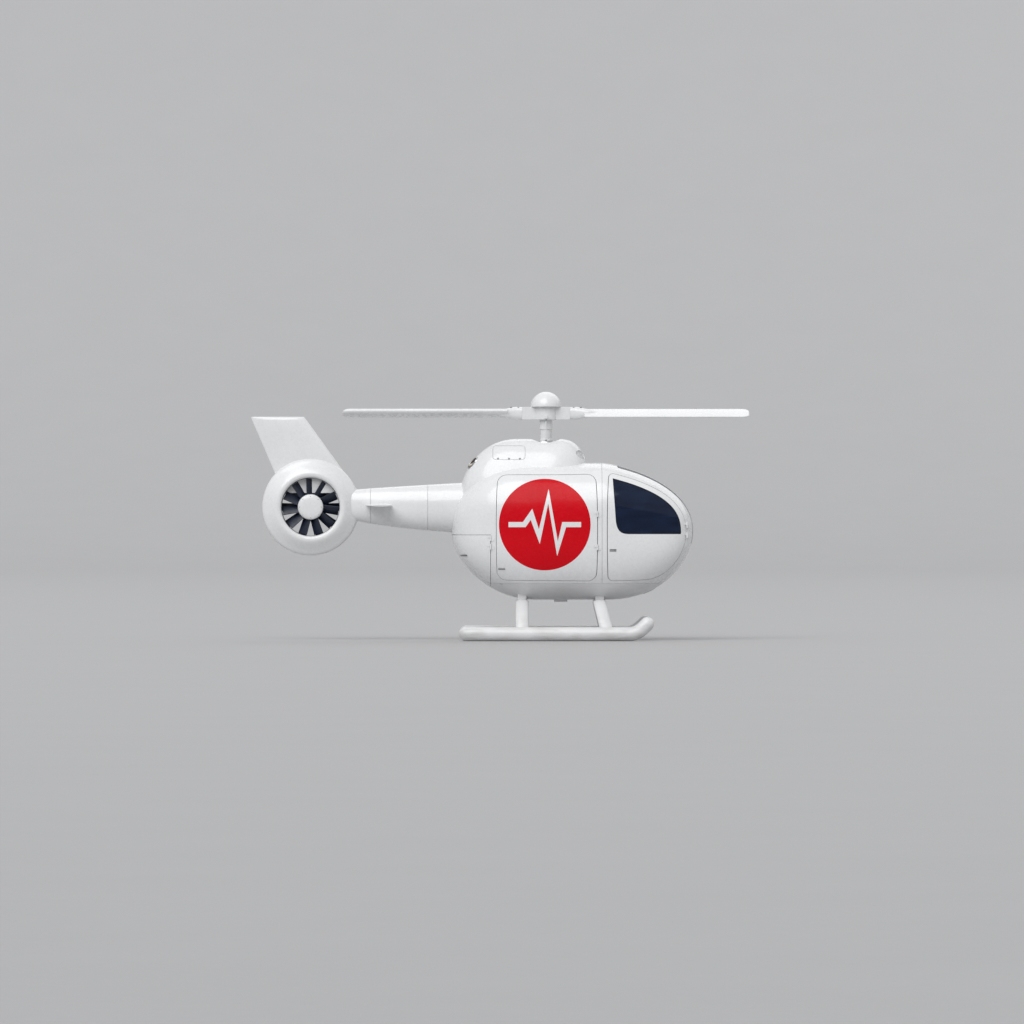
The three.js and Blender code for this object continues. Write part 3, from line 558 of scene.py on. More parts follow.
@dataclass
class Shape:
    """Points and faces of a piece in the making, with a finish and corner normals for each face."""

    points: list[np.ndarray] = field(default_factory=list)
    faces: list[tuple[int, ...]] = field(default_factory=list)
    finish: list[int] = field(default_factory=list)
    normals: list[list[Sequence[float]]] = field(default_factory=list)
    count: int = 0

    def add(
        self,
        points: np.ndarray,
        faces: Sequence[Sequence[int]],
        finish: int | Sequence[int] = 0,
        normals: Sequence[list[Sequence[float]]] | None = None,
    ) -> "Shape":
        """Adds points and faces.

        Args:
            points: The new points.
            faces: Faces as places in the new points.
            finish: Number of the finish, for all faces or for each.
            normals: Corner normals of each face, or an empty list for a face that shades by itself.

        Returns:
            The same shape.
        """
        self.points.append(np.asarray(points, float))
        self.faces.extend(tuple(int(i) + self.count for i in f) for f in faces)
        self.finish.extend([finish] * len(faces) if isinstance(finish, int) else [int(f) for f in finish])
        self.normals.extend(normals if normals is not None else [[] for _ in faces])
        self.count += len(points)
        return self

    def over(self, faces: Sequence[Sequence[int]], finish: int = 0) -> "Shape":
        """Adds flat faces over points that are there.

        Args:
            faces: The faces, by their places among all points.
            finish: Number of the finish.

        Returns:
            The same shape.
        """
        self.faces.extend(tuple(int(i) for i in f) for f in faces)
        self.finish.extend([finish] * len(faces))
        self.normals.extend([] for _ in faces)
        return self

    def join(self, other: "Shape") -> "Shape":
        """Adds a copy of another shape's parts."""
        return self.add(np.vstack(other.points), other.faces, other.finish, other.normals)

    def mirror(self) -> "Shape":
        """Mirrors the shape.

        Returns:
            A copy on the other side of the centre plane.
        """
        normals = [[tuple(np.asarray(n) * MIRROR) for n in corner[::-1]] for corner in self.normals]
        faces = [face[::-1] for face in self.faces]
        return Shape().add(np.vstack(self.points) * MIRROR, faces, self.finish, normals)

    def on(self, side: Side) -> "Shape":
        """The shape itself to port, its mirror image to starboard."""
        return self if side is Side.LEFT else self.mirror()

    def moved(self, step: Sequence[float]) -> "Shape":
        """A copy moved by a step."""
        return Shape().add(np.vstack(self.points) + np.asarray(step), self.faces, self.finish, self.normals)

    def turned(self, angle: float, axis: Axis, centre: Sequence[float] = (0, 0, 0)) -> "Shape":
        """A copy turned about an axis through a centre; it shades by itself.

        Args:
            angle: The turn in radians.
            axis: The axis's direction.
            centre: A point that it passes through.

        Returns:
            The copy.
        """
        c, s = math.cos(angle), math.sin(angle)
        i, j, _ = axis.value
        p = np.vstack(self.points) - np.asarray(centre)
        turned = p.copy()
        turned[:, i] = c * p[:, i] - s * p[:, j]
        turned[:, j] = s * p[:, i] + c * p[:, j]
        return Shape().add(turned + np.asarray(centre), self.faces, self.finish)

    def loft(self, rings: Sequence[np.ndarray], finish: int = 0, caps: bool = True) -> "Shape":
        """Adds a skin through rings of points.

        Args:
            rings: The rings, all with the same number of points.
            finish: Number of the finish.
            caps: Whether each end gets an end face.

        Returns:
            The same shape.
        """
        count = len(rings[0])
        steps = [(i, (i + 1) % count) for i in range(count)]
        faces = []
        for near in range(0, (len(rings) - 1) * count, count):
            faces += [(near + i, near + j, near + count + j, near + count + i) for i, j in steps]
        if caps:
            faces.append(tuple(reversed(range(count))))
            faces.append(tuple(range((len(rings) - 1) * count, len(rings) * count)))
        return self.add(np.vstack(rings), faces, finish)

    def sweep(
        self,
        path: Curve,
        radius: float | Sequence[float],
        sides: int = 8,
        finish: int = 0,
        closed: bool = False,
    ) -> "Shape":
        """Adds a round bar along a path.

        Args:
            path: Points of its centreline.
            radius: Its radius, or one for each point.
            sides: Corners of its section.
            finish: Number of the finish.
            closed: Whether the path runs back to its start.

        Returns:
            The same shape.
        """
        path = np.asarray(path, float)
        steps = np.roll(path, -1, axis=0) - np.roll(path, 1, axis=0) if closed else np.gradient(path, axis=0)
        along = unit_rows(steps)
        across = np.cross(along[0], (0.13, 0.31, 0.94))
        angles = turns(sides)[:, None]
        rings = []
        for point, way, r in zip(path, along, np.broadcast_to(radius, len(path))):
            across = across - way * (across @ way)
            across /= np.linalg.norm(across)
            rings.append(point + r * (np.cos(angles) * across + np.sin(angles) * np.cross(way, across)))
        if closed:
            shift = int(np.argmin(np.linalg.norm(rings[0] - rings[-1][0], axis=1)))
            rings.append(np.roll(rings[0], -shift, axis=0))
        return self.loft(rings, finish, caps=not closed)

    def lathe(
        self,
        profile: Curve,
        centre: Sequence[float],
        axis: Axis,
        sides: int = 48,
        finish: int | Sequence[int] = 0,
    ) -> "Shape":
        """Adds a turned form.

        Args:
            profile: Closed outline as (radius, place along the axis); radius 0 lies on the axis.
            centre: Where the axis passes.
            axis: Its direction.
            sides: Faces round the axis.
            finish: Number of the finish, for the whole or for each edge of the profile.

        Returns:
            The same shape.
        """
        angles = turns(sides)
        rings = []
        for r, h in profile:
            ring = np.zeros((sides, 3))
            ring[:, axis.value] = np.stack([r * np.cos(angles), r * np.sin(angles), 0 * angles + h], axis=1)
            rings.append(ring + np.asarray(centre))
        n = len(rings)
        faces, numbers = [], []
        for a in range(n):
            b = (a + 1) % n
            if profile[a][0] < 1e-9 and profile[b][0] < 1e-9:
                continue
            for i in range(sides):
                j = (i + 1) % sides
                faces.append((a * sides + i, a * sides + j, b * sides + j, b * sides + i))
                numbers.append(finish if isinstance(finish, int) else finish[a])
        return self.add(np.vstack(rings), faces, numbers)

    def spindle(
        self, steps: Curve, centre: Sequence[float], axis: Axis, sides: int = 48, finish: int = 0
    ) -> "Shape":
        """Adds a turned form that is solid to its axis, from the (radius, place) steps of its side."""
        return self.lathe([(0, steps[0][1]), *steps, (0, steps[-1][1])], centre, axis, sides, finish)

    def block(
        self,
        low: Sequence[float],
        high: Sequence[float],
        finish: int = 0,
        corner: float = 0.0,
        axis: Axis = Axis.Z,
    ) -> "Shape":
        """Adds a box.

        Args:
            low: Its lowest corner.
            high: Its highest corner.
            finish: Number of the finish.
            corner: Radius of the edges that run along the axis.
            axis: The axis that they run along.

        Returns:
            The same shape.
        """
        i, j, k = axis.value
        outline = rounded_box(low[i], high[i], low[j], high[j], corner)
        rings = []
        for end in (low[k], high[k]):
            ring = np.zeros((len(outline), 3))
            ring[:, i], ring[:, j], ring[:, k] = outline[:, 0], outline[:, 1], end
            rings.append(ring)
        return self.loft(rings, finish)

    def band(
        self, path: Curve, side: Sequence[float], width: float, thick: float, finish: int = 0
    ) -> "Shape":
        """Adds a flat strap.

        Args:
            path: Points that its middle runs smoothly through.
            side: Direction of its width.
            width: Its width.
            thick: Its thickness.
            finish: Number of the finish.

        Returns:
            The same shape.
        """
        run = flowing(path, 5)
        across = np.asarray(side, float)
        rings = []
        for point, way in zip(run, np.gradient(run, axis=0)):
            wide = across - way * (across @ way) / (way @ way)
            wide *= width / 2 / np.linalg.norm(wide)
            up = np.cross(way, wide)
            up *= thick / 2 / np.linalg.norm(up)
            corners = [point + wide + up, point - wide + up, point - wide - up, point + wide - up]
            rings.append(np.array(corners))
        return self.loft(rings, finish)

    def make(
        self, name: str, finishes: Sequence["Finish"], sharp: float = 35.0, bevel: float = 0.0
    ) -> bpy.types.Object:
        """Makes the Blender object.

        Args:
            name: Name of the object.
            finishes: Its finishes, in the order of their numbers.
            sharp: Edges that turn by more than this angle in degrees stay sharp.
            bevel: Width of a bevel along the sharp edges, 0 for none.

        Returns:
            The object, linked to the scene.
        """
        points = np.vstack(self.points)
        first, back = welded(points)
        faces, finish, normals = [], [], []
        for face, number, corner in zip(self.faces, self.finish, self.normals):
            ring = [int(back[i]) for i in face]
            kept = [k for k, v in enumerate(ring) if v != ring[k - 1]]
            if len(kept) < 3 or len({ring[k] for k in kept}) < len(kept):
                continue
            faces.append([ring[k] for k in kept])
            finish.append(number)
            normals.append([corner[k] for k in kept] if corner else [])
        mesh = bpy.data.meshes.new(name)
        mesh.from_pydata(points[first].tolist(), [], faces)
        mesh.polygons.foreach_set("material_index", finish)
        mesh.polygons.foreach_set("use_smooth", [True] * len(faces))
        for f in finishes:
            mesh.materials.append(f.material())
        mesh.update()
        obj = bpy.data.objects.new(name, mesh)
        bpy.context.scene.collection.objects.link(obj)
        if any(normals):
            pairs = zip(normals, mesh.polygons)
            corners = [given or [tuple(f.normal)] * len(f.vertices) for given, f in pairs]
            mesh.normals_split_custom_set([n for face in corners for n in face])
        else:
            self._face_outwards(mesh)
            mesh.set_sharp_from_angle(angle=math.radians(sharp))
        if bevel:
            edge = obj.modifiers.new("edges", "BEVEL")
            edge.width, edge.segments, edge.limit_method = bevel, 2, "ANGLE"
            edge.angle_limit = math.radians(sharp)
            edge.harden_normals = True
        return obj

    @staticmethod
    def _face_outwards(mesh: bpy.types.Mesh) -> None:
        """Turns every face of a mesh outwards.

        Args:
            mesh: The mesh.
        """
        work = bmesh.new()
        work.from_mesh(mesh)
        bmesh.ops.recalc_face_normals(work, faces=work.faces)
        work.to_mesh(mesh)
        work.free()
        mesh.update()


@dataclass
class Panel:
    """Part of a hull's port side: triangles on its map, and the finish of each."""

    hull: Hull
    place: np.ndarray
    triangles: np.ndarray
    finish: np.ndarray

    def solid(self, depth: float, sunk: float = 0.0, whole: bool = False, lining: int = 0) -> Shape:
        """The panel as a closed plate that follows the skin.

        Args:
            depth: Its thickness.
            sunk: How deep its outer face lies below the skin.
            whole: Whether it is joined to its mirror image across the centre plane.
            lining: Number of the inner face's finish.

        Returns:
            The plate, shaded by the skin's own normals.
        """
        used, triangles = np.unique(self.triangles, return_inverse=True)
        triangles = triangles.reshape(-1, 3)
        normal = self.hull.normals(self.place[used])
        outer = self.hull.points(self.place[used]) - normal * sunk
        finish = self.finish
        if whole:
            triangles = np.vstack([triangles, triangles[:, ::-1] + len(outer)])
            outer, normal = np.vstack([outer, outer * MIRROR]), np.vstack([normal, normal * MIRROR])
            finish = np.concatenate([finish, finish])
        first, back = welded(outer)
        triangles, outer, normal = back[triangles], outer[first], normal[first]
        real = (triangles != np.roll(triangles, 1, axis=1)).all(axis=1)
        triangles, finish = triangles[real], finish[real].tolist()
        count = len(outer)
        edges = np.vstack([triangles[:, [0, 1]], triangles[:, [1, 2]], triangles[:, [2, 0]]])
        rim = edges[~np.isin(edges[:, 0] * count + edges[:, 1], edges[:, 1] * count + edges[:, 0])]
        walls = np.stack([rim[:, 1], rim[:, 0], rim[:, 0] + count, rim[:, 1] + count], axis=1)
        out, into = [tuple(n) for n in normal], [tuple(-n) for n in normal]
        corners = [[out[i] for i in t] for t in triangles.tolist()]
        corners += [[into[i] for i in t[::-1]] for t in triangles.tolist()]
        faces = [*triangles.tolist(), *(triangles[:, ::-1] + count).tolist()]
        finishes = [*finish, *[lining] * len(triangles)]
        shape = Shape().add(np.vstack([outer, outer - normal * depth]), faces, finishes, corners)
        return shape.over(walls.tolist())


def triangulated(
    lines: Sequence[tuple[np.ndarray, bool]], grid: np.ndarray, clearance: float
) -> tuple[np.ndarray, np.ndarray]:
    """Triangles over an area, with the steps of every line as edges.

    Args:
        lines: Lines of points and whether each is closed; the first one is the area's border.
        grid: Points for the space between the lines.
        clearance: How far those keep from the lines.

    Returns:
        The points, and the triangles inside the border, turned clockwise.
    """
    edges: list[tuple[int, int]] = []
    start = 0
    for run, closed in lines:
        count = len(run)
        edges += [(start + k, start + (k + 1) % count) for k in range(count if closed else count - 1)]
        start += count
    fixed = np.vstack([run for run, _ in lines])
    tree = kdtree.KDTree(len(fixed))
    for k, (u, s) in enumerate(fixed):
        tree.insert((u, s, 0), k)
    tree.balance()
    border = lines[0][0]
    grid = grid[encloses(border, grid)]
    clear = np.array([tree.find((u, s, 0))[2] > clearance for u, s in grid])
    every = np.vstack([fixed, grid[clear]])
    made = delaunay_2d_cdt([Vector(p) for p in every.tolist()], edges, [], 0, 1e-6)
    place = np.array([tuple(v) for v in made[0]])
    triangles = np.array([f for f in made[2] if len(f) == 3])
    a, b, c = (place[triangles[:, k]] for k in range(3))
    area = (b[:, 0] - a[:, 0]) * (c[:, 1] - a[:, 1]) - (b[:, 1] - a[:, 1]) * (c[:, 0] - a[:, 0])
    triangles = np.where((area > 0)[:, None], triangles[:, ::-1], triangles)
    kept = encloses(border, place[triangles].mean(axis=1)) & (np.abs(area) > 1e-9)
    return place, triangles[kept]


@dataclass
class Patchwork:
    """One side of a hull, triangulated with every seam as an edge."""

    hull: Hull
    border: np.ndarray
    step: float
    narrowest: float = 0.12
    seams: list[tuple[np.ndarray, bool]] = field(default_factory=list)

    def seam(self, line: np.ndarray, closed: bool = True) -> np.ndarray:
        """Adds a line on the map and hands it back."""
        self.seams.append((line, closed))
        return line

    def cut(self) -> None:
        """Triangulates the side, and keeps each triangle's middle on the map and on the skin."""
        drawn = [(self.border, True), *self.seams]
        lines = [(refined(line, self.step / 2, closed), closed) for line, closed in drawn]
        widest = max(self.hull.girth)
        grid = []
        for row, u in enumerate(np.arange(self.step / 2, self.hull.u_max, self.step)):
            half, _, reach = self.hull.section(self.hull.x_of(np.array([u])))
            share = float(max(half[0], reach[0]) / widest)
            pitch = self.step / min(1.0, max(share, self.narrowest))
            grid += [(u, s) for s in np.arange(pitch * (0.5 if row % 2 else 1), self.hull.s_max, pitch)]
        self.place, self.triangles = triangulated(lines, np.array(grid), CLEARANCE * self.step)
        self.middle = self.place[self.triangles].mean(axis=1)
        self.centre = self.hull.points(self.middle)

    def inside(self, line: np.ndarray) -> np.ndarray:
        """Which triangles lie inside a closed line on the map."""
        return encloses(line, self.middle)

    def panel(self, chosen: np.ndarray, finish: np.ndarray | None = None) -> Panel:
        """The chosen triangles as a panel, all of finish 0 or each of its own."""
        numbers = np.zeros(len(self.triangles), int) if finish is None else finish
        return Panel(self.hull, self.place, self.triangles[chosen], numbers[chosen])


# Finishes


class Wiring:
    """The nodes of one material, with short calls to add and link them."""

    def __init__(self, name: str) -> None:
        """Starts a material with one shader.

        Args:
            name: The material's name.
        """
        self.material = bpy.data.materials.new(name)
        self.material.use_nodes = True
        self.tree = self.material.node_tree
        self.tree.nodes.clear()
        self.shader = self.tree.nodes.new("ShaderNodeBsdfPrincipled")
        output = self.tree.nodes.new("ShaderNodeOutputMaterial")
        self.tree.links.new(self.shader.outputs[0], output.inputs[0])
        self.where = self.tree.nodes.new("ShaderNodeTexCoord").outputs["Object"]

    def node(self, kind: str, **inputs: object) -> bpy.types.Node:
        """Adds a node.

        Args:
            kind: Blender's name of the node type.
            inputs: A value or a socket for each input, with _ for a space in its name.

        Returns:
            The node.
        """
        made = self.tree.nodes.new(kind)
        for name, value in inputs.items():
            self.put(made.inputs[name.replace("_", " ")], value)
        return made

    def put(self, socket: Socket, value: object) -> None:
        """Links a socket to another, or sets its value.

        Args:
            socket: The input.
            value: What it gets.
        """
        if isinstance(value, Socket):
            self.tree.links.new(value, socket)
        else:
            socket.default_value = value

    def set(self, **inputs: object) -> "Wiring":
        """Sets or links the shader's own inputs.

        Args:
            inputs: A value or a socket for each input, with _ for a space in its name.

        Returns:
            The same wiring.
        """
        for name, value in inputs.items():
            self.put(self.shader.inputs[name.replace("_", " ")], value)
        return self

    def noise(self, scale: float, detail: float = 3.0, stretch: Triple = (1, 1, 1)) -> Socket:
        """Cloudy noise in the object's own space."""
        mapped = self.node("ShaderNodeMapping", Vector=self.where, Scale=stretch).outputs[0]
        return self.node("ShaderNodeTexNoise", Vector=mapped, Scale=scale, Detail=detail).outputs["Fac"]

    def spread(self, source: Socket, low: float, high: float, to_low: float, to_high: float) -> Socket:
        """A value taken from one range to another and held there.

        Args:
            source: The value.
            low: Start of its range.
            high: End of its range.
            to_low: Start of the new range.
            to_high: End of the new range.

        Returns:
            The new value.
        """
        made = self.node("ShaderNodeMapRange", Value=source)
        for name, value in zip(("From Min", "From Max", "To Min", "To Max"), (low, high, to_low, to_high)):
            made.inputs[name].default_value = value
        return made.outputs[0]

    def blend(self, share: Socket, one: object, other: object) -> Socket:
        """One colour turning into another.

        Args:
            share: How much of the other colour shows.
            one: The first colour or its socket.
            other: The other colour or its socket.

        Returns:
            The blended colour.
        """
        made = self.tree.nodes.new("ShaderNodeMix")
        made.data_type = "RGBA"
        for place, value in ((0, share), (6, one), (7, other)):
            self.put(made.inputs[place], value)
        return made.outputs[2]

    def times(self, one: Socket, other: Socket) -> Socket:
        """Product of two values.

        Args:
            one: The first value.
            other: The other value.

        Returns:
            The product.
        """
        made = self.tree.nodes.new("ShaderNodeMath")
        made.operation = "MULTIPLY"
        self.put(made.inputs[0], one)
        self.put(made.inputs[1], other)
        return made.outputs[0]

    def height(self) -> Socket:
        """Height above the ground in the object's own space."""
        return self.node("ShaderNodeSeparateXYZ", Vector=self.where).outputs[2]

    def bump(self, source: Socket, strength: float, distance: float) -> "Wiring":
        """Raises the surface by a value."""
        made = self.node("ShaderNodeBump", Height=source, Strength=strength, Distance=distance)
        return self.set(Normal=made.outputs[0])


def opaque(colour: Triple, share: float = 1.0) -> tuple[float, float, float, float]:
    """A share of a colour with full alpha."""
    return (*(part * share for part in colour), 1.0)


@dataclass(frozen=True)
class Finish:
    """What every finish has: a name and a cached material."""

    name: str

    def material(self) -> bpy.types.Material:
        """The material, made once."""
        return bpy.data.materials.get(self.name) or self.wire(Wiring(self.name)).material

    def wire(self, w: Wiring) -> Wiring:
        """Wires the nodes; each finish has its own way."""
        raise NotImplementedError


@dataclass(frozen=True)
class Paint(Finish):
    """Gloss aircraft paint: faint cloudiness, orange peel, and grime that gathers low down."""

    colour: Triple = (0.8, 0.8, 0.8)
    shade: Triple = (0.7, 0.7, 0.7)
    roughness: float = 0.26
    grime: float = 0.25
    grime_top: float = 1.0
    coat: float = 0.5
    gloss: float = 0.5
    dirt: Triple = (0.21, 0.2, 0.18)

    def wire(self, w: Wiring) -> Wiring:
        """Wires cloudiness, peel and grime.

        Args:
            w: The material's wiring.

        Returns:
            The same wiring.
        """
        clouds = w.spread(w.noise(1.6, 4.0), 0.35, 0.7, 0.0, 1.0)
        base = w.blend(clouds, opaque(self.colour), opaque(self.shade))
        streaks = w.spread(w.noise(5.0, 6.0, (0.5, 1.5, 2.2)), 0.42, 0.72, 0.0, 1.0)
        low = w.spread(w.height(), self.grime_top, 0.0, 0.0, self.grime)
        base = w.blend(w.times(streaks, low), base, opaque(self.dirt))
        w.set(Base_Color=base, Coat_Weight=self.coat, Coat_Roughness=0.08, Specular_IOR_Level=self.gloss)
        w.set(Roughness=w.spread(w.noise(11.0, 4.0), 0.3, 0.7, self.roughness - 0.05, self.roughness + 0.09))
        return w.bump(w.noise(90.0, 2.0), 0.05, 0.0004)


@dataclass(frozen=True)
class TintedPane(Finish):
    """Dark tinted acrylic with wiping marks."""

    tint: Triple = (0.006, 0.012, 0.032)
    alpha: float = 0.86

    def wire(self, w: Wiring) -> Wiring:
        """Wires tint, wiping marks and see-through.

        Args:
            w: The material's wiring.

        Returns:
            The same wiring.
        """
        marks = w.noise(3.0, 5.0, (1.0, 1.0, 4.0))
        share = w.spread(marks, 0.4, 0.75, 0.0, 1.0)
        w.set(Base_Color=w.blend(share, opaque(self.tint), opaque(self.tint, 1.8)))
        w.set(Roughness=w.spread(marks, 0.35, 0.8, 0.03, 0.1), Alpha=self.alpha, IOR=1.32)
        w.material.surface_render_method = "BLENDED"
        return w.bump(w.noise(2.2, 1.0), 0.03, 0.002)


@dataclass(frozen=True)
class Metal(Finish):
    """Machined metal with a grain, and heat stain that grows along X where heat is set."""

    colour: Triple = (0.56, 0.57, 0.58)
    roughness: float = 0.3
    grain: Triple = (1.0, 1.0, 30.0)
    heat: float = 0.0
    soot: Triple = (0.15, 0.12, 0.1)

    def wire(self, w: Wiring) -> Wiring:
        """Wires grain, tarnish and stain.

        Args:
            w: The material's wiring.

        Returns:
            The same wiring.
        """
        grain = w.noise(60.0, 4.0, self.grain)
        tarnish = w.spread(w.noise(7.0, 5.0), 0.35, 0.75, 0.0, 0.6)
        base = w.blend(tarnish, opaque(self.colour), opaque(self.colour, 0.6))
        if self.heat:
            stain = w.spread(w.noise(9.0, 3.0, (1.0, 0.6, 0.6)), 0.3, 0.7, 0.1, self.heat)
            base = w.blend(stain, base, opaque(self.soot))
        w.set(Base_Color=base, Metallic=1.0)
        w.set(Roughness=w.spread(grain, 0.3, 0.7, self.roughness - 0.08, self.roughness + 0.12))
        return w.bump(grain, 0.08, 0.0005)


@dataclass(frozen=True)
class Moulded(Finish):
    """Moulded plastic or rubber with a fine grain and dust."""

    colour: Triple = (0.03, 0.032, 0.036)
    roughness: float = 0.55
    grain: float = 420.0
    dust: float = 0.2

    def wire(self, w: Wiring) -> Wiring:
        """Wires grain and dust.

        Args:
            w: The material's wiring.

        Returns:
            The same wiring.
        """
        dust = w.spread(w.noise(6.0, 5.0), 0.45, 0.75, 0.0, self.dust)
        dusty = tuple(0.75 * part + 0.05 for part in self.colour)
        w.set(Base_Color=w.blend(dust, opaque(self.colour), opaque(dusty)))
        w.set(Roughness=w.spread(w.noise(30.0), 0.3, 0.7, self.roughness - 0.08, self.roughness + 0.1))
        return w.bump(w.noise(self.grain, 2.0), 0.25, 0.0006)


@dataclass(frozen=True)
class Woven(Finish):
    """Seat cloth: crossed sets of yarns, with lint and fading."""

    colour: Triple = (0.05, 0.058, 0.072)
    pale: Triple = (0.1, 0.11, 0.13)
    yarns: float = 240.0

    def wire(self, w: Wiring) -> Wiring:
        """Wires the sets of yarns and the fading.

        Args:
            w: The material's wiring.

        Returns:
            The same wiring.
        """
        waves = []
        for direction in ("X", "Z", "Y"):
            wave = w.node("ShaderNodeTexWave", Vector=w.where, Scale=self.yarns, Distortion=0.6, Detail=1.0)
            wave.bands_direction = direction
            waves.append(wave.outputs["Fac"])
        weave = w.times(w.times(waves[0], waves[1]), waves[2])
        fading = w.spread(w.noise(5.0, 6.0), 0.35, 0.75, 0.0, 0.7)
        w.set(Base_Color=w.blend(fading, opaque(self.colour), opaque(self.pale)))
        w.set(Roughness=w.spread(weave, 0.0, 1.0, 0.95, 0.75), Sheen_Weight=0.35, Sheen_Roughness=0.4)
        return w.bump(weave, 0.5, 0.0008)


@dataclass(frozen=True)
class Lens(Finish):
    """Clear ribbed lamp glass."""

    colour: Triple = (0.85, 0.88, 0.9)
    ribs: float = 60.0

    def wire(self, w: Wiring) -> Wiring:
        """Wires the ribs behind the glass.

        Args:
            w: The material's wiring.

        Returns:
            The same wiring.
        """
        rib = w.node("ShaderNodeTexWave", Vector=w.where, Scale=self.ribs, Distortion=0.0)
        share = w.spread(rib.outputs["Fac"], 0.0, 1.0, 0.0, 0.5)
        w.set(Base_Color=w.blend(share, opaque(self.colour), opaque(self.colour, 0.5)))
        w.set(Roughness=w.spread(w.noise(20.0), 0.3, 0.7, 0.04, 0.12), Transmission_Weight=0.4)
        return w.bump(rib.outputs["Fac"], 0.3, 0.001)


@dataclass(frozen=True)
class Readout(Finish):
    """A dark screen with dim bars of light."""

    colour: Triple = (0.05, 0.35, 0.3)
    dim: Triple = (0.01, 0.02, 0.03)
    gap: Triple = (0.004, 0.006, 0.01)
    dark: Triple = (0.01, 0.012, 0.016)

    def wire(self, w: Wiring) -> Wiring:
        """Wires the bars.

        Args:
            w: The material's wiring.

        Returns:
            The same wiring.
        """
        colours = {"Color1": opaque(self.colour), "Color2": opaque(self.dim), "Mortar": opaque(self.gap)}
        bars = w.node("ShaderNodeTexBrick", Vector=w.where, Scale=26.0, Mortar_Size=0.03, **colours)
        w.set(Base_Color=opaque(self.dark), Emission_Color=bars.outputs[0], Emission_Strength=0.5)
        return w.set(Roughness=w.spread(w.noise(14.0), 0.3, 0.7, 0.1, 0.2))


@dataclass(frozen=True)
class Plaster(Finish):
    """The pale matt floor and backdrop."""

    colour: Triple = (0.43, 0.43, 0.435)

    def wire(self, w: Wiring) -> Wiring:
        """Wires a faint mottle.

        Args:
            w: The material's wiring.

        Returns:
            The same wiring.
        """
        mottle = w.spread(w.noise(0.5, 5.0), 0.3, 0.7, 0.0, 0.4)
        w.set(Base_Color=w.blend(mottle, opaque(self.colour), opaque(self.colour, 0.96)))
        w.set(Roughness=w.spread(w.noise(8.0), 0.3, 0.7, 0.85, 0.95))
        return w.bump(w.noise(40.0), 0.05, 0.001)


WHITE = Paint("white_gloss", (0.8, 0.805, 0.81), (0.765, 0.77, 0.78), grime=0.12)
WHITE_WORN = Paint("white_worn", (0.78, 0.785, 0.79), (0.7, 0.7, 0.705), 0.34, 0.45, 0.5, 0.2)
RED = Paint("red_gloss", (0.64, 0.002, 0.01), (0.58, 0.002, 0.009), 0.24, coat=0.05, gloss=0.12)
# Painted shade: the fan duct's bore, vanes and blades are dark navy so that the duct's opening reads as a
# dark hollow.
NAVY = Paint("navy_duct_shade", (0.006, 0.011, 0.028), (0.01, 0.016, 0.036), 0.42, 0.0, 1.0, 0.1)
PANE = TintedPane("tinted_pane")
BARE = Metal("machined_metal")
SCORCHED = Metal("scorched_steel", (0.42, 0.36, 0.31), 0.34, (20.0, 1.0, 1.0), 0.75)
BLACK = Moulded("black_plastic")
RUBBER = Moulded("rubber_seal", (0.012, 0.012, 0.014), 0.7, 500.0, 0.1)
LINING = Moulded("cabin_lining", (0.36, 0.37, 0.38), 0.6, 300.0, 0.1)
MATTING = Moulded("floor_matting", (0.09, 0.095, 0.105), 0.8, 120.0, 0.5)
CLOTH = Woven("seat_cloth")
STRAPS = Woven("harness_webbing", (0.09, 0.1, 0.12), (0.16, 0.17, 0.19), 500.0)
VINYL = Moulded("mattress_vinyl", (0.02, 0.05, 0.13), 0.42, 700.0, 0.15)
LAMP = Lens("lamp_lens")
SCREEN_LIGHT = Readout("panel_screens")


def refinish(node: str, finish: Finish) -> None:
    """Gives a node of the frame that stays in view a finish of its own.

    Args:
        node: The node's name.
        finish: Its finish.
    """
    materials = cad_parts[node].data.materials
    materials.clear()
    materials.append(finish.material())


@dataclass
class Assembly:
    """A sub-assembly, which counts the pieces that it places."""

    placed: list[str] = field(default_factory=list)

    def place(
        self,
        shape: Shape,
        name: str,
        finishes: Sequence[Finish],
        slot: Slot,
        body: Body | str = Body.AIRFRAME,
        nodes: Sequence[str] = (),
        sharp: float = 35.0,
        bevel: float = 0.0,
    ) -> bpy.types.Object:
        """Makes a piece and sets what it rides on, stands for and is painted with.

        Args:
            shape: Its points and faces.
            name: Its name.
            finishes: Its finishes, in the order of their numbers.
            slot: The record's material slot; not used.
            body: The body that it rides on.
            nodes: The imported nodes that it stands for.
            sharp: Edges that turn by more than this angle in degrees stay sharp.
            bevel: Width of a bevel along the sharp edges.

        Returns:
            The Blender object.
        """
        obj = shape.make(name, finishes, sharp, bevel)
        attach(obj, body.value if isinstance(body, Body) else body)
        if nodes:
            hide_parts(*nodes)
        self.placed.append(name)
        return obj

    def build(self) -> None:
        """Builds and places every piece."""
        raise NotImplementedError


# The cabin's outer form


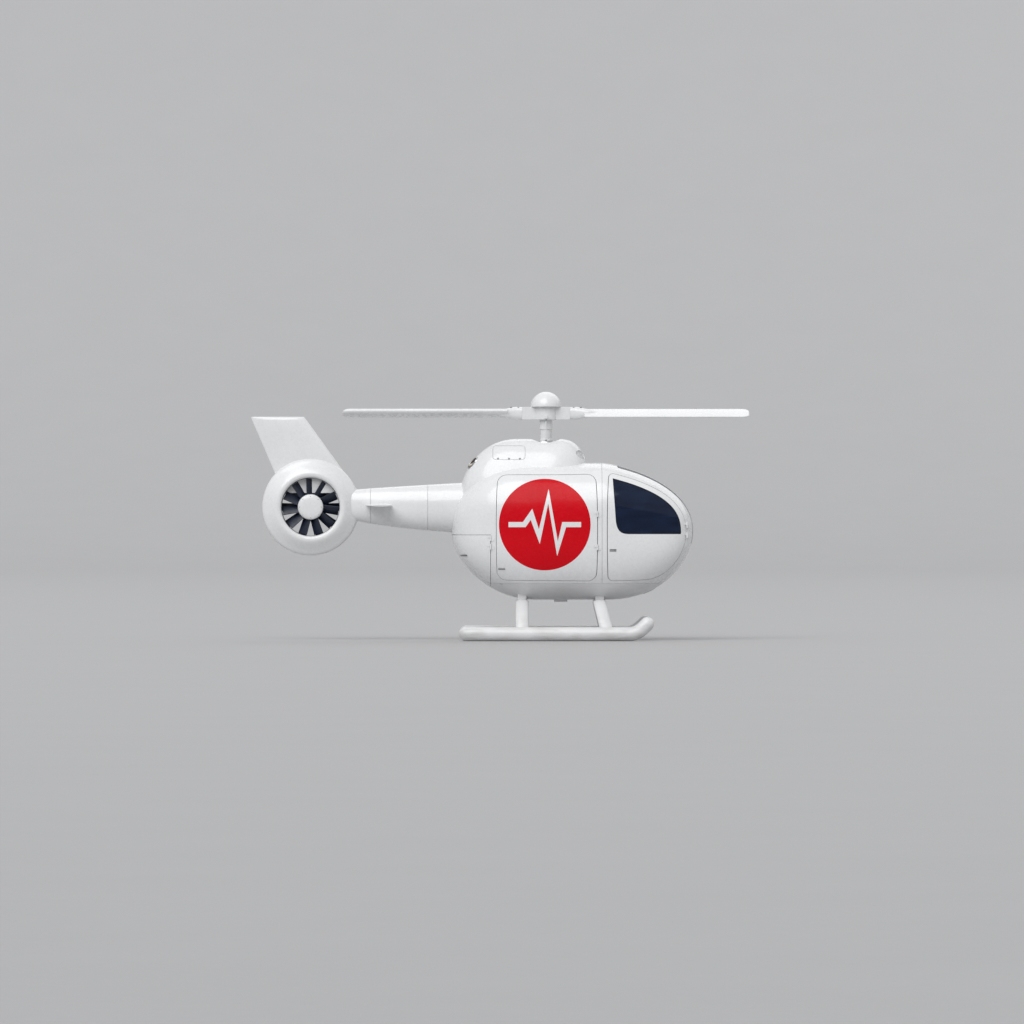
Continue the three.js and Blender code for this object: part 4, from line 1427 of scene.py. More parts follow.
@dataclass(frozen=True)
class PodForm:
    """Sizes of the cabin's outer form."""

    tail: float = -0.808
    nose: float = 3.215
    belly: float = 0.675
    roof: float = 2.95
    half: float = 0.95
    power: float = 2.8
    front_from: float = 1.3
    front_power: float = 3.8
    rear_from: float = 0.9
    rear_power: float = 2.5
    roof_front: Curve = ((1.716, 2.95), (1.811, 2.95), (3.215, 2.706), (3.215, 1.833))
    roof_rear: Curve = ((0.45, 2.95), (-0.25, 2.95), (-0.808, 2.5), (-0.808, 1.833))
    belly_front: Curve = ((1.783, 0.675), (2.715, 0.675), (3.215, 1.316), (3.215, 1.833))
    belly_rear: Curve = ((0.597, 0.675), (-0.186, 0.675), (-0.808, 1.301), (-0.808, 1.833))

    def half_at(self, x: np.ndarray) -> np.ndarray:
        """Half width along X.

        Args:
            x: Places along X.

        Returns:
            The half width at each.
        """
        front = np.clip((x - self.front_from) / (self.nose - self.front_from), 0, 1)
        rear = np.clip((self.rear_from - x) / (self.rear_from - self.tail), 0, 1)
        ahead = (1 - front**self.front_power) ** (1 / self.front_power)
        behind = (1 - rear**self.rear_power) ** (1 / self.rear_power)
        return np.maximum(self.half * np.minimum(ahead, behind), 1e-6)

    def top_at(self, x: np.ndarray) -> np.ndarray:
        """Height of the roof line at X."""
        return profile_at(self.roof_front, self.roof_rear, self.roof, x)

    def bottom_at(self, x: np.ndarray) -> np.ndarray:
        """Height of the belly line at X."""
        return profile_at(self.belly_front, self.belly_rear, self.belly, x)

    def hull(self) -> Hull:
        """The cabin as a hull."""
        girth = (self.half, (self.roof - self.belly) / 2)
        return Hull(self.tail, self.nose, self.power, self.half_at, self.top_at, self.bottom_at, girth)


POD_FORM = PodForm()
POD = POD_FORM.hull()


@dataclass(frozen=True)
class DoorLine:
    """Outline of a side door, drawn at its true size on the cabin's widest plane, and narrower further in."""

    outline: np.ndarray
    centre: tuple[float, float]
    draft: float = 0.2

    def at(self, gap: float) -> np.ndarray:
        """The outline grown by a gap and brought to the skin.

        Args:
            gap: How far it grows; below 0 it shrinks.

        Returns:
            Its map places.
        """
        line = widened(self.outline, gap)
        away = unit_rows(np.asarray(self.centre) - line)
        skin = line
        for _ in range(10):
            shift = self.draft * (POD_FORM.half - POD.skin_y(*skin.T))
            skin = line + away * shift[:, None]
        return POD.from_side(skin)


@dataclass
class Cabin(Assembly):
    """The shell of the cabin with its doors, windows and marking."""

    wall: float = 0.05
    seam: float = 0.01
    joint: float = 0.004
    step: float = 0.05
    sill: float = 0.945
    pillar: float = 1.69
    tailgate: tuple[float, float] = (-0.15, 1.76)
    screen_rear: float = 1.95
    screen_heights: tuple[float, float] = (1.6, 2.55)
    screen_sides: tuple[float, float] = (0.028, 0.43)
    screen_chart: Triple = (1.6, 1.75, 1.5)
    spacing: tuple[float, float] = (0.025, 0.02)
    pane_sunk: float = 0.01
    pane_thick: float = 0.012
    pilot_outline: Sequence[Curve] = (
        ((1.885, 2.818), (3.04, 2.56), (3.145, 2.09), (3.145, 1.767)),
        ((3.145, 1.767), (3.12, 1.39), (2.82, 0.965), (2.4, 0.965)),
        ((1.865, 0.965), (1.81, 0.965), (1.775, 1.0), (1.775, 1.055)),
        ((1.775, 2.74), (1.775, 2.805), (1.82, 2.832), (1.885, 2.818)),
    )
    window_outline: Sequence[Curve] = (
        ((1.867, 2.692), (2.991, 2.405), (3.0, 2.012), (3.0, 1.767)),
        ((2.13, 1.767), (1.99, 1.767), (1.93, 1.83), (1.915, 2.0)),
    )
    cabin_door: tuple[float, float, float, float, float] = (-0.08, 1.615, 0.965, 2.8, 0.15)
    disc_centre: tuple[float, float] = (0.742, 1.925)
    disc_radius: float = 0.758
    pulse: Curve = (
        (-0.6, 0.0), (-0.34, 0.0), (-0.22, 0.17), (-0.09, -0.2),
        (0.06, 0.47), (0.21, -0.4), (0.32, 0.0), (0.6, 0.0),
    )  # fmt: skip
    pulse_width: float = 0.085

    def window(self) -> np.ndarray:
        """Outline of a pilot door's window on the map."""
        return POD.from_side(evenly(np.vstack([bezier(c, 40) for c in self.window_outline]), self.spacing[1]))

    def _lines(self, work: Patchwork) -> dict[str, np.ndarray]:
        """Adds every closed seam of the port side.

        Args:
            work: The side that is being cut.

        Returns:
            The seams by name.
        """
        wide, close = self.spacing
        outline = np.vstack([bezier(c, 40) for c in self.pilot_outline])
        coarse = np.vstack([bezier(c, 5)[:-1] for c in self.pilot_outline])
        pilot = DoorLine(evenly(outline, wide), tuple(coarse.mean(axis=0)))
        x0, x1, z0, z1, corner = self.cabin_door
        cabin = DoorLine(evenly(rounded_box(x0, x1, z0, z1, corner), wide), ((x0 + x1) / 2, (z0 + z1) / 2))
        gap = self.seam / 2
        turn = turns(140)
        disc = np.stack([np.cos(turn), np.sin(turn)], axis=1) * self.disc_radius + self.disc_centre
        band = refined(ribbon(self.pulse, self.pulse_width) + self.disc_centre, close)
        lines = {
            "pilot_way": pilot.at(gap),
            "pilot_door": pilot.at(-gap),
            "cabin_way": cabin.at(gap),
            "cabin_door": cabin.at(-gap),
            "window": self.window(),
            "disc": POD.from_side(disc),
            "pulse": POD.from_side(band),
            "screen": softened(self._screen_line(), close, 3),
        }
        for line in lines.values():
            work.seam(line)
        return lines

    def _screen_line(self) -> np.ndarray:
        """The windscreen's outline, cut by planes from ahead and above.

        Returns:
            Its map places.
        """
        inner, outer = self.screen_sides
        ahead = (2.2, POD_FORM.nose)
        rise = np.linspace(*self.screen_heights, 30)

        def front(y: float, heights: np.ndarray) -> np.ndarray:
            """Places at one Y and several heights on the nose."""
            return POD.from_side(np.stack([POD.skin_x(0 * heights + y, heights, *ahead), heights], axis=1))

        def above(y: float) -> np.ndarray:
            """The screen's upper edge at one Y.

            Args:
                y: Its Y.

            Returns:
                Map places from the nose's top back to the screen's rear edge.
            """
            start = POD.skin_x(np.array([y]), rise[-1:], *ahead)[0]
            x = np.linspace(start, self.screen_rear, 30)[1:]
            return POD.from_plan(np.stack([x, 0 * x + y], axis=1))

        across = np.linspace(inner, outer, 12)
        sill = np.vstack([front(y, rise[:1]) for y in across[:-1]])
        rear = POD.from_plan(np.array([(self.screen_rear, y) for y in across[::-1][1:-1]]))
        low, high = front(inner, rise[[0, -1]])[:, 1]
        post = POD.on_nose(inner, np.linspace(high, low, 200)[:-1])
        return np.vstack([sill, front(outer, rise), above(outer), rear, above(inner)[::-1], post])

    def _screen(self, outline: np.ndarray) -> Panel:
        """The windscreen, triangulated by its angle round the cabin's middle and its Y.

        The map of the hull is stretched too far at the tip of the nose for a smooth pane.

        Args:
            outline: Its outline on the hull's map.

        Returns:
            The pane's panel.
        """
        x0, z0, reach = self.screen_chart
        x, y, z = POD.points(outline).T
        points = np.stack([np.arctan2(z - z0, x - x0) * reach, y], axis=1)
        kept = [points[0]]
        for point in points[1:]:
            if np.linalg.norm(point - kept[-1]) > self.step / 6:
                kept.append(point)
        rim = refined(np.array(kept), self.step / 2)
        pitch = 0.7 * self.step
        (low, left), (high, right) = rim.min(axis=0), rim.max(axis=0)
        grid = [
            (a, y)
            for row, a in enumerate(np.arange(low, high, pitch))
            for y in np.arange(left + pitch * (0.5 if row % 2 else 1), right, pitch)
        ]
        flat, triangles = triangulated([(rim, True)], np.array(grid), CLEARANCE * pitch)
        angle, y = flat[:, 0] / reach, flat[:, 1]

        def at(distance: np.ndarray) -> np.ndarray:
            """Points at a distance from the cabin's middle."""
            return np.stack([x0 + distance * np.cos(angle), y, z0 + distance * np.sin(angle)], axis=1)

        def within(distance: np.ndarray) -> np.ndarray:
            """Whether those points are inside the cabin."""
            return POD.depth(at(distance)) < 1

        place = POD.place_of(at(last_within(np.zeros(len(y)), np.full(len(y), 2.0), within)))
        return Panel(POD, place, triangles, np.zeros(len(triangles), int))

    def _joints(self, work: Patchwork) -> None:
        """Adds the joint lines between tub, frames and rear doors.

        Args:
            work: The side that is being cut.
        """
        gate_x, gate_z = self.tailgate
        half = self.joint / 2
        ahead = np.linspace(gate_x, 3.0, 400)
        for z in (self.sill - half, self.sill + half):
            run = ahead[POD_FORM.bottom_at(ahead) < z]
            line = POD.from_side(np.stack([run, 0 * run + z], axis=1))
            line[-1, 1] = 0.0
            work.seam(line, closed=False)
        for x in (self.pillar - half, self.pillar + half):
            foot = POD.from_side(np.array([(x, self.sill)]))[0]
            work.seam(np.array([foot, (foot[0], POD.s_max)]), closed=False)
        for x, z in (self.tailgate, (gate_x - self.seam, gate_z - self.seam)):
            back = np.linspace(x, POD_FORM.tail + 0.0004, 200)
            back = back[POD_FORM.bottom_at(back) < z]
            run = POD.from_side(np.stack([back, 0 * back + z], axis=1))
            work.seam(np.vstack([(run[0, 0], 0.0), run]), closed=False)
        back = np.linspace(gate_x, POD_FORM.tail + 0.002, 160)
        middle = np.stack([back, 0 * back + self.seam / 2], axis=1)
        work.seam(POD.from_plan(middle, above=False), closed=False)

    def build(self) -> None:
        """Cuts one side of the cabin and makes both sides of each piece."""
        edge = np.array([(0, 0), (POD.u_max, 0), (POD.u_max, POD.s_max), (0, POD.s_max)])
        work = Patchwork(POD, edge, self.step)
        lines = self._lines(work)
        self._joints(work)
        work.cut()
        inside = {name: work.inside(line) for name, line in lines.items()}
        x, y, z = work.centre.T
        gate_x, gate_z = self.tailgate
        half = self.joint / 2
        gate = (x < gate_x) & (z < gate_z)
        shell = ~(inside["pilot_way"] | inside["cabin_way"] | inside["screen"] | gate)
        tub = work.panel(shell & (z < self.sill - half)).solid(self.wall, whole=True, lining=1)
        self.place(tub, "belly_tub_skin", [WHITE_WORN, LINING], Slot.WHITE, nodes=["belly_tub"])
        above = shell & (z > self.sill + half)
        frames = {"cockpit_frame": x > self.pillar + half, "cabin_frame": x < self.pillar - half}
        for name, part in frames.items():
            skin = work.panel(above & part).solid(self.wall, whole=True, lining=1)
            self.place(skin, f"{name}_skin", [WHITE, LINING], Slot.WHITE, nodes=[name])
        pilot = work.panel(inside["pilot_door"] & ~inside["window"]).solid(self.wall, lining=1)
        pane = work.panel(inside["window"]).solid(self.pane_thick, self.pane_sunk)
        marking = np.where(inside["disc"] & ~inside["pulse"], 2, 0)
        cabin = work.panel(inside["cabin_door"], marking).solid(self.wall, lining=1)
        behind = (x < gate_x - self.seam) & (z < gate_z - self.seam) & (y > self.seam / 2)
        rear = work.panel(behind).solid(self.wall, lining=1)
        screen = self._screen(lines["screen"]).solid(self.pane_thick, self.pane_sunk)
        for side in Side:
            doors = (
                (pilot, Body.PILOT_DOOR, [WHITE, LINING]),
                (cabin, Body.CABIN_DOOR, [WHITE, LINING, RED]),
                (rear, Body.REAR_DOOR, [WHITE, LINING]),
            )
            for shape, body, finishes in doors:
                node = side.node(body.value)
                self.place(shape.on(side), f"{node}_skin", finishes, Slot.WHITE, side.body(body), [node])
            node = side.node("door_window")
            self.place(pane.on(side), f"{node}_pane", [PANE], Slot.GLASS, side.body(Body.PILOT_DOOR), [node])
            node = side.node("windscreen")
            self.place(screen.on(side), f"{node}_pane", [PANE], Slot.GLASS, nodes=[node])


# Engine deck, boom, fin and fan


@dataclass(frozen=True)
class CowlForm:
    """Sizes of the engine cowling's outer form."""

    rear: float = -0.688
    front: float = 1.475
    top: float = 3.35
    base: float = 2.2
    half: float = 0.58
    power: float = 2.5
    plan_power: float = 2.6
    plan: tuple[float, float] = (0.4, 0.7)
    front_curve: Curve = ((0.989, 3.35), (1.422, 3.35), (1.475, 2.901), (1.475, 2.6))
    rear_curve: Curve = ((0.296, 3.35), (-0.415, 3.35), (-0.688, 2.68), (-0.688, 2.3))

    def half_at(self, x: np.ndarray) -> np.ndarray:
        """Half width along X.

        Args:
            x: Places along X.

        Returns:
            The half width at each.
        """
        aft = (self.plan[0] - x) / (self.plan[0] - self.rear)
        fore = (x - self.plan[1]) / (self.front - self.plan[1])
        share = np.clip(np.maximum(aft, fore), 0, 1)
        return np.maximum(self.half * (1 - share**self.plan_power) ** (1 / self.plan_power), 1e-6)

    def top_at(self, x: np.ndarray) -> np.ndarray:
        """Height of the ridge at X."""
        return profile_at(self.front_curve, self.rear_curve, self.top, x)

    def bottom_at(self, x: np.ndarray) -> np.ndarray:
        """Height of the unseen lower half at X."""
        return 2 * self.base - self.top_at(x)

    def hull(self) -> Hull:
        """The cowling as a hull."""
        girth = (self.half, self.top - self.base)
        return Hull(self.rear, self.front, self.power, self.half_at, self.top_at, self.bottom_at, girth)


@dataclass(frozen=True)
class BoomForm:
    """Sizes of the tail boom: X, top, bottom and half width of its sections."""

    power: float = 2.3
    girth: tuple[float, float] = (0.25, 0.36)
    sections: Curve = (
        (-2.62, 2.49, 2.03, 0.12),
        (-2.383, 2.508, 1.983, 0.166),
        (-2.05, 2.534, 1.922, 0.196),
        (-1.45, 2.572, 1.846, 0.25),
        (-0.82, 2.61, 1.794, 0.306),
        (-0.56, 2.622, 1.776, 0.318),
    )

    def _column(self, number: int) -> Callable[[np.ndarray], np.ndarray]:
        """One column of the sections as a smooth function of X.

        Args:
            number: The column.

        Returns:
            The function.
        """
        line = smoothed(self.sections)

        def at(x: np.ndarray) -> np.ndarray:
            """The column at X."""
            return np.interp(x, line[:, 0], line[:, number])

        return at

    def hull(self) -> Hull:
        """Makes the boom's hull.

        Returns:
            The hull, straight at both ends.
        """
        columns = [self._column(number) for number in (3, 1, 2)]
        rear, front = self.sections[0][0], self.sections[-1][0]
        return Hull(rear, front, self.power, *columns, self.girth, closed=False)


COWL_FORM = CowlForm()
COWL = COWL_FORM.hull()
BOOM = BoomForm().hull()


def wing_section(half: float, blunt: float = 0.07) -> np.ndarray:
    """A symmetric wing section.

    Args:
        half: Half of its thickness.
        blunt: Thickness of its rear edge, as a share of the whole.

    Returns:
        The whole outline as (share of chord, height).
    """
    c = (1 - np.cos(np.linspace(0, math.pi, 17))) / 2
    root, first, second, third, fourth = WING_SHARES
    t = root * np.sqrt(c) + first * c + second * c**2 + third * c**3 + fourth * c**4
    t = half * (t + blunt * c)
    return np.vstack([np.stack([c, t], axis=1), np.stack([c[-2:0:-1], -t[-2:0:-1]], axis=1)])


@dataclass
class Deck(Assembly):
    """The engine cowling with its intakes, exhaust pipes and hatches."""

    wall: float = 0.03
    step: float = 0.045
    overlap: float = 1.012
    well: tuple[float, float] = (0.765, 0.262)
    ahead: tuple[float, float] = (0.9, COWL_FORM.front)
    astern: tuple[float, float] = (0.2, COWL_FORM.rear)
    intake: tuple[float, float, float, float] = (0.19, 3.085, 0.115, 0.075)
    catch: tuple[float, float, float, float] = (0.09, 0.014, 0.012, 0.032)
    rim: tuple[float, float] = (0.007, 0.006)
    bar: tuple[float, float] = (0.0028, 0.014)
    bars: tuple[int, float] = (9, 0.84)
    mesh: tuple[float, float] = (0.003, 0.026)
    exhaust: Triple = (0.15, 2.95, 0.088)
    outlet_gap: float = 0.008
    pipe_wall: float = 0.006
    pipe_inner: float = -0.12
    pipe_end: float = -0.64
    pipe_proud: float = 0.014
    pipe_lip: float = 0.0055
    hatch: tuple[float, float, float, float, float] = (-0.12, 0.42, 3.0, 3.235, 0.05)
    hatch_gap: float = 0.005
    hatch_thick: float = 0.012

    def _buried(self, points: np.ndarray) -> np.ndarray:
        """Below 1 where points lie a little inside the cabin or the boom."""
        return np.minimum(POD.depth(points), BOOM.depth(points)) * self.overlap

    def _foot(self) -> np.ndarray:
        """The cowling's border.

        Returns:
            Its map places: where it leaves the cabin and the boom, and the ridge.
        """
        x = np.linspace(COWL_FORM.rear + 1e-4, COWL_FORM.front - 1e-4, 3000)
        ridge = np.stack([x, 0 * x, COWL_FORM.top_at(x)], axis=1)
        free = x[self._buried(ridge) > 1]
        wave = np.cos(np.linspace(0, math.pi, 121))[1:-1]
        s = np.linspace(0.2, COWL.s_max, 900)
        rows = [(COWL.u_of(free[0]), COWL.s_max)]
        for u in COWL.u_of(free[0] + (free[-1] - free[0]) * (1 - wave) / 2):
            depth = self._buried(COWL.points(np.stack([0 * s + u, s], axis=1)))
            last = int(np.nonzero(depth < 1)[0][-1])
            share = (1 - depth[last]) / (depth[last + 1] - depth[last])
            rows.append((u, s[last] + share * (s[last + 1] - s[last])))
        rows.append((COWL.u_of(free[-1]), COWL.s_max))
        return np.array(rows, float)

    @staticmethod
    def _mouth(
        middle: Sequence[float], size: Sequence[float], ends: Sequence[float], sides: int = 60
    ) -> np.ndarray:
        """Where an oval tube along X leaves the cowling.

        Args:
            middle: Y and Z of its axis.
            size: Its half width and half height.
            ends: X inside the cowling and X outside it.
            sides: Number of points round the tube.

        Returns:
            The points.
        """
        y, z = middle[0] + size[0] * np.cos(turns(sides)), middle[1] + size[1] * np.sin(turns(sides))
        return np.stack([COWL.skin_x(y, z, *ends), y, z], axis=1)

    def build(self) -> None:
        """Cuts the cowling and fits what goes into its openings."""
        work = Patchwork(COWL, self._foot(), self.step)
        x0, radius = self.well
        turn = np.linspace(0, math.pi, 40)
        rim = np.stack([x0 + radius * np.cos(turn), radius * np.sin(turn)], axis=1)
        work.seam(COWL.from_plan(rim), closed=False)
        mouth = self._mouth(self.intake[:2], self.intake[2:], self.ahead)
        intake = work.seam(COWL.from_side(mouth[:, [0, 2]]))
        y, z, pipe = self.exhaust
        vent = self._mouth((y, z), [pipe + self.outlet_gap] * 2, self.astern)
        outlet = work.seam(COWL.from_side(vent[:, [0, 2]]))
        box = evenly(rounded_box(*self.hatch), 0.02)
        way = work.seam(COWL.from_side(box))
        lid = work.seam(COWL.from_side(widened(box, -self.hatch_gap)))
        work.cut()
        well = np.hypot(work.centre[:, 0] - x0, work.centre[:, 1]) < radius
        openings = well | work.inside(intake) | work.inside(outlet) | work.inside(way)
        cowling = work.panel(~openings).solid(self.wall, whole=True, lining=1)
        self.place(cowling, "engine_cowling_skin", [WHITE, BARE], Slot.WHITE, nodes=["engine_cowling"])
        lids = work.panel(work.inside(lid)).solid(self.hatch_thick, lining=1)
        grille = self._grille(mouth).join(work.panel(work.inside(intake)).solid(*self.mesh))
        pipes = self._pipe()
        for side in Side:
            self.place(lids.on(side), side.node("cowling_hatch"), [WHITE, BARE], Slot.WHITE)
            node = side.node("intake_grille")
            self.place(grille.on(side), f"{node}_mesh", [WHITE], Slot.PLASTIC, nodes=[node], sharp=50)
            node = side.node("exhaust_pipe")
            self.place(pipes.on(side), f"{node}_tube", [BARE, SCORCHED], Slot.METAL, nodes=[node])
        self.place(self._catches(), "cowling_catches", [BARE], Slot.METAL, bevel=0.001)
        refinish("engine", SCORCHED)

    def _grille(self, mouth: np.ndarray) -> Shape:
        """Crossed bars and a rim in one intake.

        Args:
            mouth: The intake's edge.

        Returns:
            The bars and the rim.
        """
        y, z, wide, tall = self.intake
        thick, sunk = self.rim
        shape = Shape().sweep(mouth - [sunk, 0, 0], thick, 8, closed=True)
        thick, sunk = self.bar
        count, outermost = self.bars
        for share in np.linspace(-outermost, outermost, count):
            run = np.linspace(-1, 1, 9) * math.sqrt(1 - share**2) * 0.97
            upright = (y + wide * share + 0 * run, z + tall * run)
            level = (y + wide * run, z + tall * share + 0 * run)
            for bar in (upright, level) if abs(share) < 0.75 else (upright,):
                shape.sweep(np.stack([COWL.skin_x(*bar, *self.ahead) - sunk, *bar], axis=1), thick, 6)
        return shape

    def _pipe(self) -> Shape:
        """One exhaust pipe.

        Returns:
            The pipe, cut off along the cowling's slope, with a rolled lip.
        """
        y, z, radius = self.exhaust
        outer = self._mouth((y, z), (radius, radius), self.astern, 48)
        inner = self._mouth((y, z), [radius - self.pipe_wall] * 2, self.astern, 48)
        inner[:, 0] = outer[:, 0] = np.maximum(outer[:, 0] - self.pipe_proud, self.pipe_end)
        near, deep = outer.copy(), inner.copy()
        near[:, 0], deep[:, 0] = self.pipe_inner, self.pipe_inner - 0.004
        shape = Shape().loft([near, outer], caps=False).loft([outer, inner], caps=False)
        shape.loft([inner, deep], 1, caps=False).loft([deep, near], 1, caps=False)
        return shape.sweep((outer + inner) / 2, self.pipe_lip, 8, closed=True)

    def _catches(self) -> Shape:
        """The hatches' catches.

        Returns:
            Small plates along each hatch's lower edge.
        """
        x0, x1, z, _, _ = self.hatch
        shape = Shape()
        inset, half, drop, rise = self.catch
        for x in np.linspace(x0 + inset, x1 - inset, 3):
            y = COWL.y_at(x, z + drop)
            low, high = (x - half, y - 0.006, z - drop), (x + half, y + 0.004, z + rise)
            plate = Shape().block(low, high, corner=0.005)
            shape.join(plate).join(plate.mirror())
        return shape


@dataclass
class Tail(Assembly):
    """The boom, stabiliser, fin and the fan's ring."""

    duct: Triple = (-3.15, 0.0, 2.217)
    # Painted shade: the ring is dark navy inside this radius, so the bore reads as a shaded hollow.
    shaded_within: float = 0.487
    ring_side: Curve = (
        (0.479, 0.155), (0.493, 0.197), (0.529, 0.219), (0.589, 0.209),
        (0.718, 0.124), (0.786, 0.078), (0.808, 0.034),
    )  # fmt: skip
    boom_wall: float = 0.012
    boom_step: float = 0.045
    boom_start: tuple[float, float] = (-0.57, -1.3)
    boom_overlap: float = 0.97
    boom_joints: tuple[float, float] = (-1.2, -2.15)
    joint: float = 0.002
    stab: tuple[float, float, float, float] = (-2.01, 2.24, 0.43, 0.054)
    stab_tips: Curve = ((0.0, 1.0), (0.5, 1.0), (0.9, 1.0), (0.935, 0.94), (0.952, 0.8), (0.96, 0.55))
    fin: Curve = ((2.45, -2.337, -3.606, 0.077), (2.783, -2.583, -3.75, 0.07), (3.717, -3.258, -4.15, 0.044))
    fin_heights: Sequence[float] = (2.45, 2.6, 2.783, 3.1, 3.4, 3.66, 3.69, 3.708, 3.717)
    fin_round: tuple[float, float] = (3.66, 0.057)
    fin_edge: tuple[float, float] = (0.012, 0.25)

    def build(self) -> None:
        """Builds the tail's fixed pieces."""
        self._boom()
        self._ring()
        self._fin()
        self._stabiliser()

    def _boom(self) -> None:
        """The boom's skin, from the cabin's back to inside the fan ring."""
        s = np.linspace(0, BOOM.s_max, 60)

        def covered(u: np.ndarray) -> np.ndarray:
            """Whether the boom is still inside the cabin."""
            return POD.depth(BOOM.points(np.stack([u, s], axis=1))) < self.boom_overlap

        inner, outer = (0 * s + BOOM.u_of(x) for x in self.boom_start)
        start = last_within(inner, outer, covered)
        work = Patchwork(BOOM, np.array([*zip(start, s), (0, BOOM.s_max), (0, 0)]), self.boom_step)
        for x in self.boom_joints:
            for u in BOOM.u_of(np.array([x - self.joint, x + self.joint])):
                work.seam(np.array([(u, 0), (u, BOOM.s_max)]), closed=False)
        work.cut()
        gaps = [np.abs(work.centre[:, 0] - x) < self.joint for x in self.boom_joints]
        skin = work.panel(~np.any(gaps, axis=0)).solid(self.boom_wall, whole=True)
        self.place(skin, "tail_boom_skin", [WHITE], Slot.WHITE, nodes=["tail_boom"])

    def _ring(self) -> None:
        """The fan ring, with painted shade: dark navy inside its bore."""
        side = flowing(self.ring_side, 5)
        profile = np.vstack([side, side[::-1] * [1, -1]])
        # Painted shade: faces inside the bore get the dark navy finish, so the bore reads as a shaded hollow.
        finish = [int(r < self.shaded_within) for r in profile[:, 0]]
        ring = Shape().lathe(profile, self.duct, Axis.Y, 96, finish)
        self.place(ring, "fan_shroud_skin", [WHITE, NAVY], Slot.WHITE, nodes=["fan_shroud"], sharp=50)

    def _fin(self) -> None:
        """The swept fin with a rounded top edge."""
        lines = np.array(self.fin)
        (start, fall), (most, thinnest) = self.fin_round, self.fin_edge
        rings = []
        for z in self.fin_heights:
            lead, trail, half = (float(np.interp(z, lines[:, 0], lines[:, k])) for k in (1, 2, 3))
            shrink = math.sqrt(max(0.0, 1 - max(0.0, (z - start) / fall) ** 2))
            inset = most * (1 - shrink)
            section = wing_section(half * max(shrink, thinnest))
            start_x, chord = lead - inset, trail - lead + 2 * inset
            rings.append(np.array([(start_x + chord * c, t, z) for c, t in section]))
        fin = Shape().loft(rings)
        self.place(fin, "tail_fin_skin", [WHITE], Slot.WHITE, nodes=["tail_fin"], sharp=40)

    def _stabiliser(self) -> None:
        """The stabiliser through the boom, with rounded tips."""
        x, z, chord, thick = self.stab
        rings = []
        for y, share in self.stab_tips:
            section = wing_section(thick / 2 * share)
            rings.append(np.array([(x + chord * share * (0.5 - c), y, z + t) for c, t in section]))
        wing = Shape().loft([r * MIRROR for r in rings[:0:-1]] + rings)
        self.place(wing, "stabiliser_skin", [WHITE], Slot.WHITE, nodes=["stabiliser"], sharp=40)


@dataclass
class Fan(Assembly):
    """The tail fan: fixed vanes, turning blades and the cap over their hub."""

    centre: Triple = (-3.15, 0.0, 2.217)
    bore: float = 0.479
    vanes: int = 10
    vane: Triple = (0.165, 0.014, 38.0)
    vane_reach: tuple[float, float] = (0.14, 0.4785)
    vane_y: tuple[float, float] = (0.012, 0.175)
    blades: int = 11
    blade: Triple = (0.172, 0.017, 32.0)
    blade_reach: tuple[float, float] = (0.17, 0.468)
    blade_y: tuple[float, float] = (-0.122, -0.018)
    twist: tuple[float, float] = (7.0, 0.75)
    taper: tuple[float, float] = (0.86, 0.14)
    blunt: float = 0.1
    hub: float = 0.205
    edge: float = 0.004
    shaft: float = 0.06
    crown: Curve = (
        (0.212, -0.1223), (0.212, -0.14), (0.206, -0.152), (0.192, -0.162), (0.165, -0.17), (0.12, -0.1755),
        (0.06, -0.178),
    )  # fmt: skip
    bolts: tuple[int, float] = (8, 0.178)
    bolt: Curve = ((0.0085, -0.16), (0.0085, -0.1695), (0.005, -0.1715))

    def _spokes(self, count: int, phase: float, blade: Triple, y: float, reach: Sequence[float]) -> Shape:
        """Copies of one twisted blade round the axis.

        Args:
            count: How many.
            phase: Share of a step by which the first is turned from upright.
            blade: Its chord, thickness and pitch in degrees.
            y: Where its middle lies along the axis.
            reach: Its inner and outer radius.

        Returns:
            All blades.
        """
        (chord, thick, pitch), (twist, level), (root, gain) = blade, self.twist, self.taper
        cx, _, cz = self.centre
        rings = []
        for r in np.linspace(*reach, 7):
            share = r / self.bore
            angle = math.radians(pitch + twist * (level - share))
            c, s = math.cos(angle), math.sin(angle)
            place, t = wing_section(thick / 2, self.blunt).T
            along = (place - 0.5) * chord * (root + gain * share)
            rings.append(np.stack([cx + along * c - t * s, y + along * s + t * c, 0 * t + cz + r], axis=1))
        one, made = Shape().loft(rings), Shape()
        for k in range(count):
            made.join(one.turned(2 * math.pi * (k + phase) / count, Axis.Y, self.centre))
        return made

    def build(self) -> None:
        """Builds the three pieces."""
        y0, y1 = self.vane_y
        stator = self._spokes(self.vanes, 0.5, self.vane, (y0 + y1) / 2, self.vane_reach)
        body = ((0.186, y0), (0.19, y0 + 0.006), (0.186, y0 + 0.05), (0.165, 0.15), (0.14, y1 - 0.004))
        stator.lathe([(0, y0), *body, (0, y1)], self.centre, Axis.Y, 64)
        # Painted shade: the vanes and their hub are dark navy so the duct's opening reads dark behind them.
        self.place(stator, "fan_stator_vanes", [NAVY], Slot.NAVY, nodes=["fan_stator"], sharp=45)
        b0, b1 = self.blade_y
        rotor = self._spokes(self.blades, 0.0, self.blade, (b0 + b1) / 2, self.blade_reach)
        rotor.spindle(drum(self.hub, b0, b1, self.edge), self.centre, Axis.Y, 64)
        rotor.spindle(((self.shaft, b1 - 0.002), (self.shaft, y0 - 0.0004)), self.centre, Axis.Y, 40)
        # Painted shade: the blades and their hub are dark navy so the duct's opening reads dark.
        self.place(rotor, "fan_rotor_blades", [NAVY], Slot.NAVY, Body.FAN, ["fan_rotor"], sharp=45)
        cap = Shape().spindle(self.crown, self.centre, Axis.Y, 72)
        count, radius = self.bolts
        for angle in turns(count):
            at = np.array(self.centre) + [radius * math.cos(angle), 0, radius * math.sin(angle)]
            cap.spindle(self.bolt, at, Axis.Y, 12, 1)
        self.place(cap, "fan_cap_dome", [WHITE, BARE], Slot.WHITE, Body.FAN, ["fan_cap"], sharp=50)


# Skids and rotor


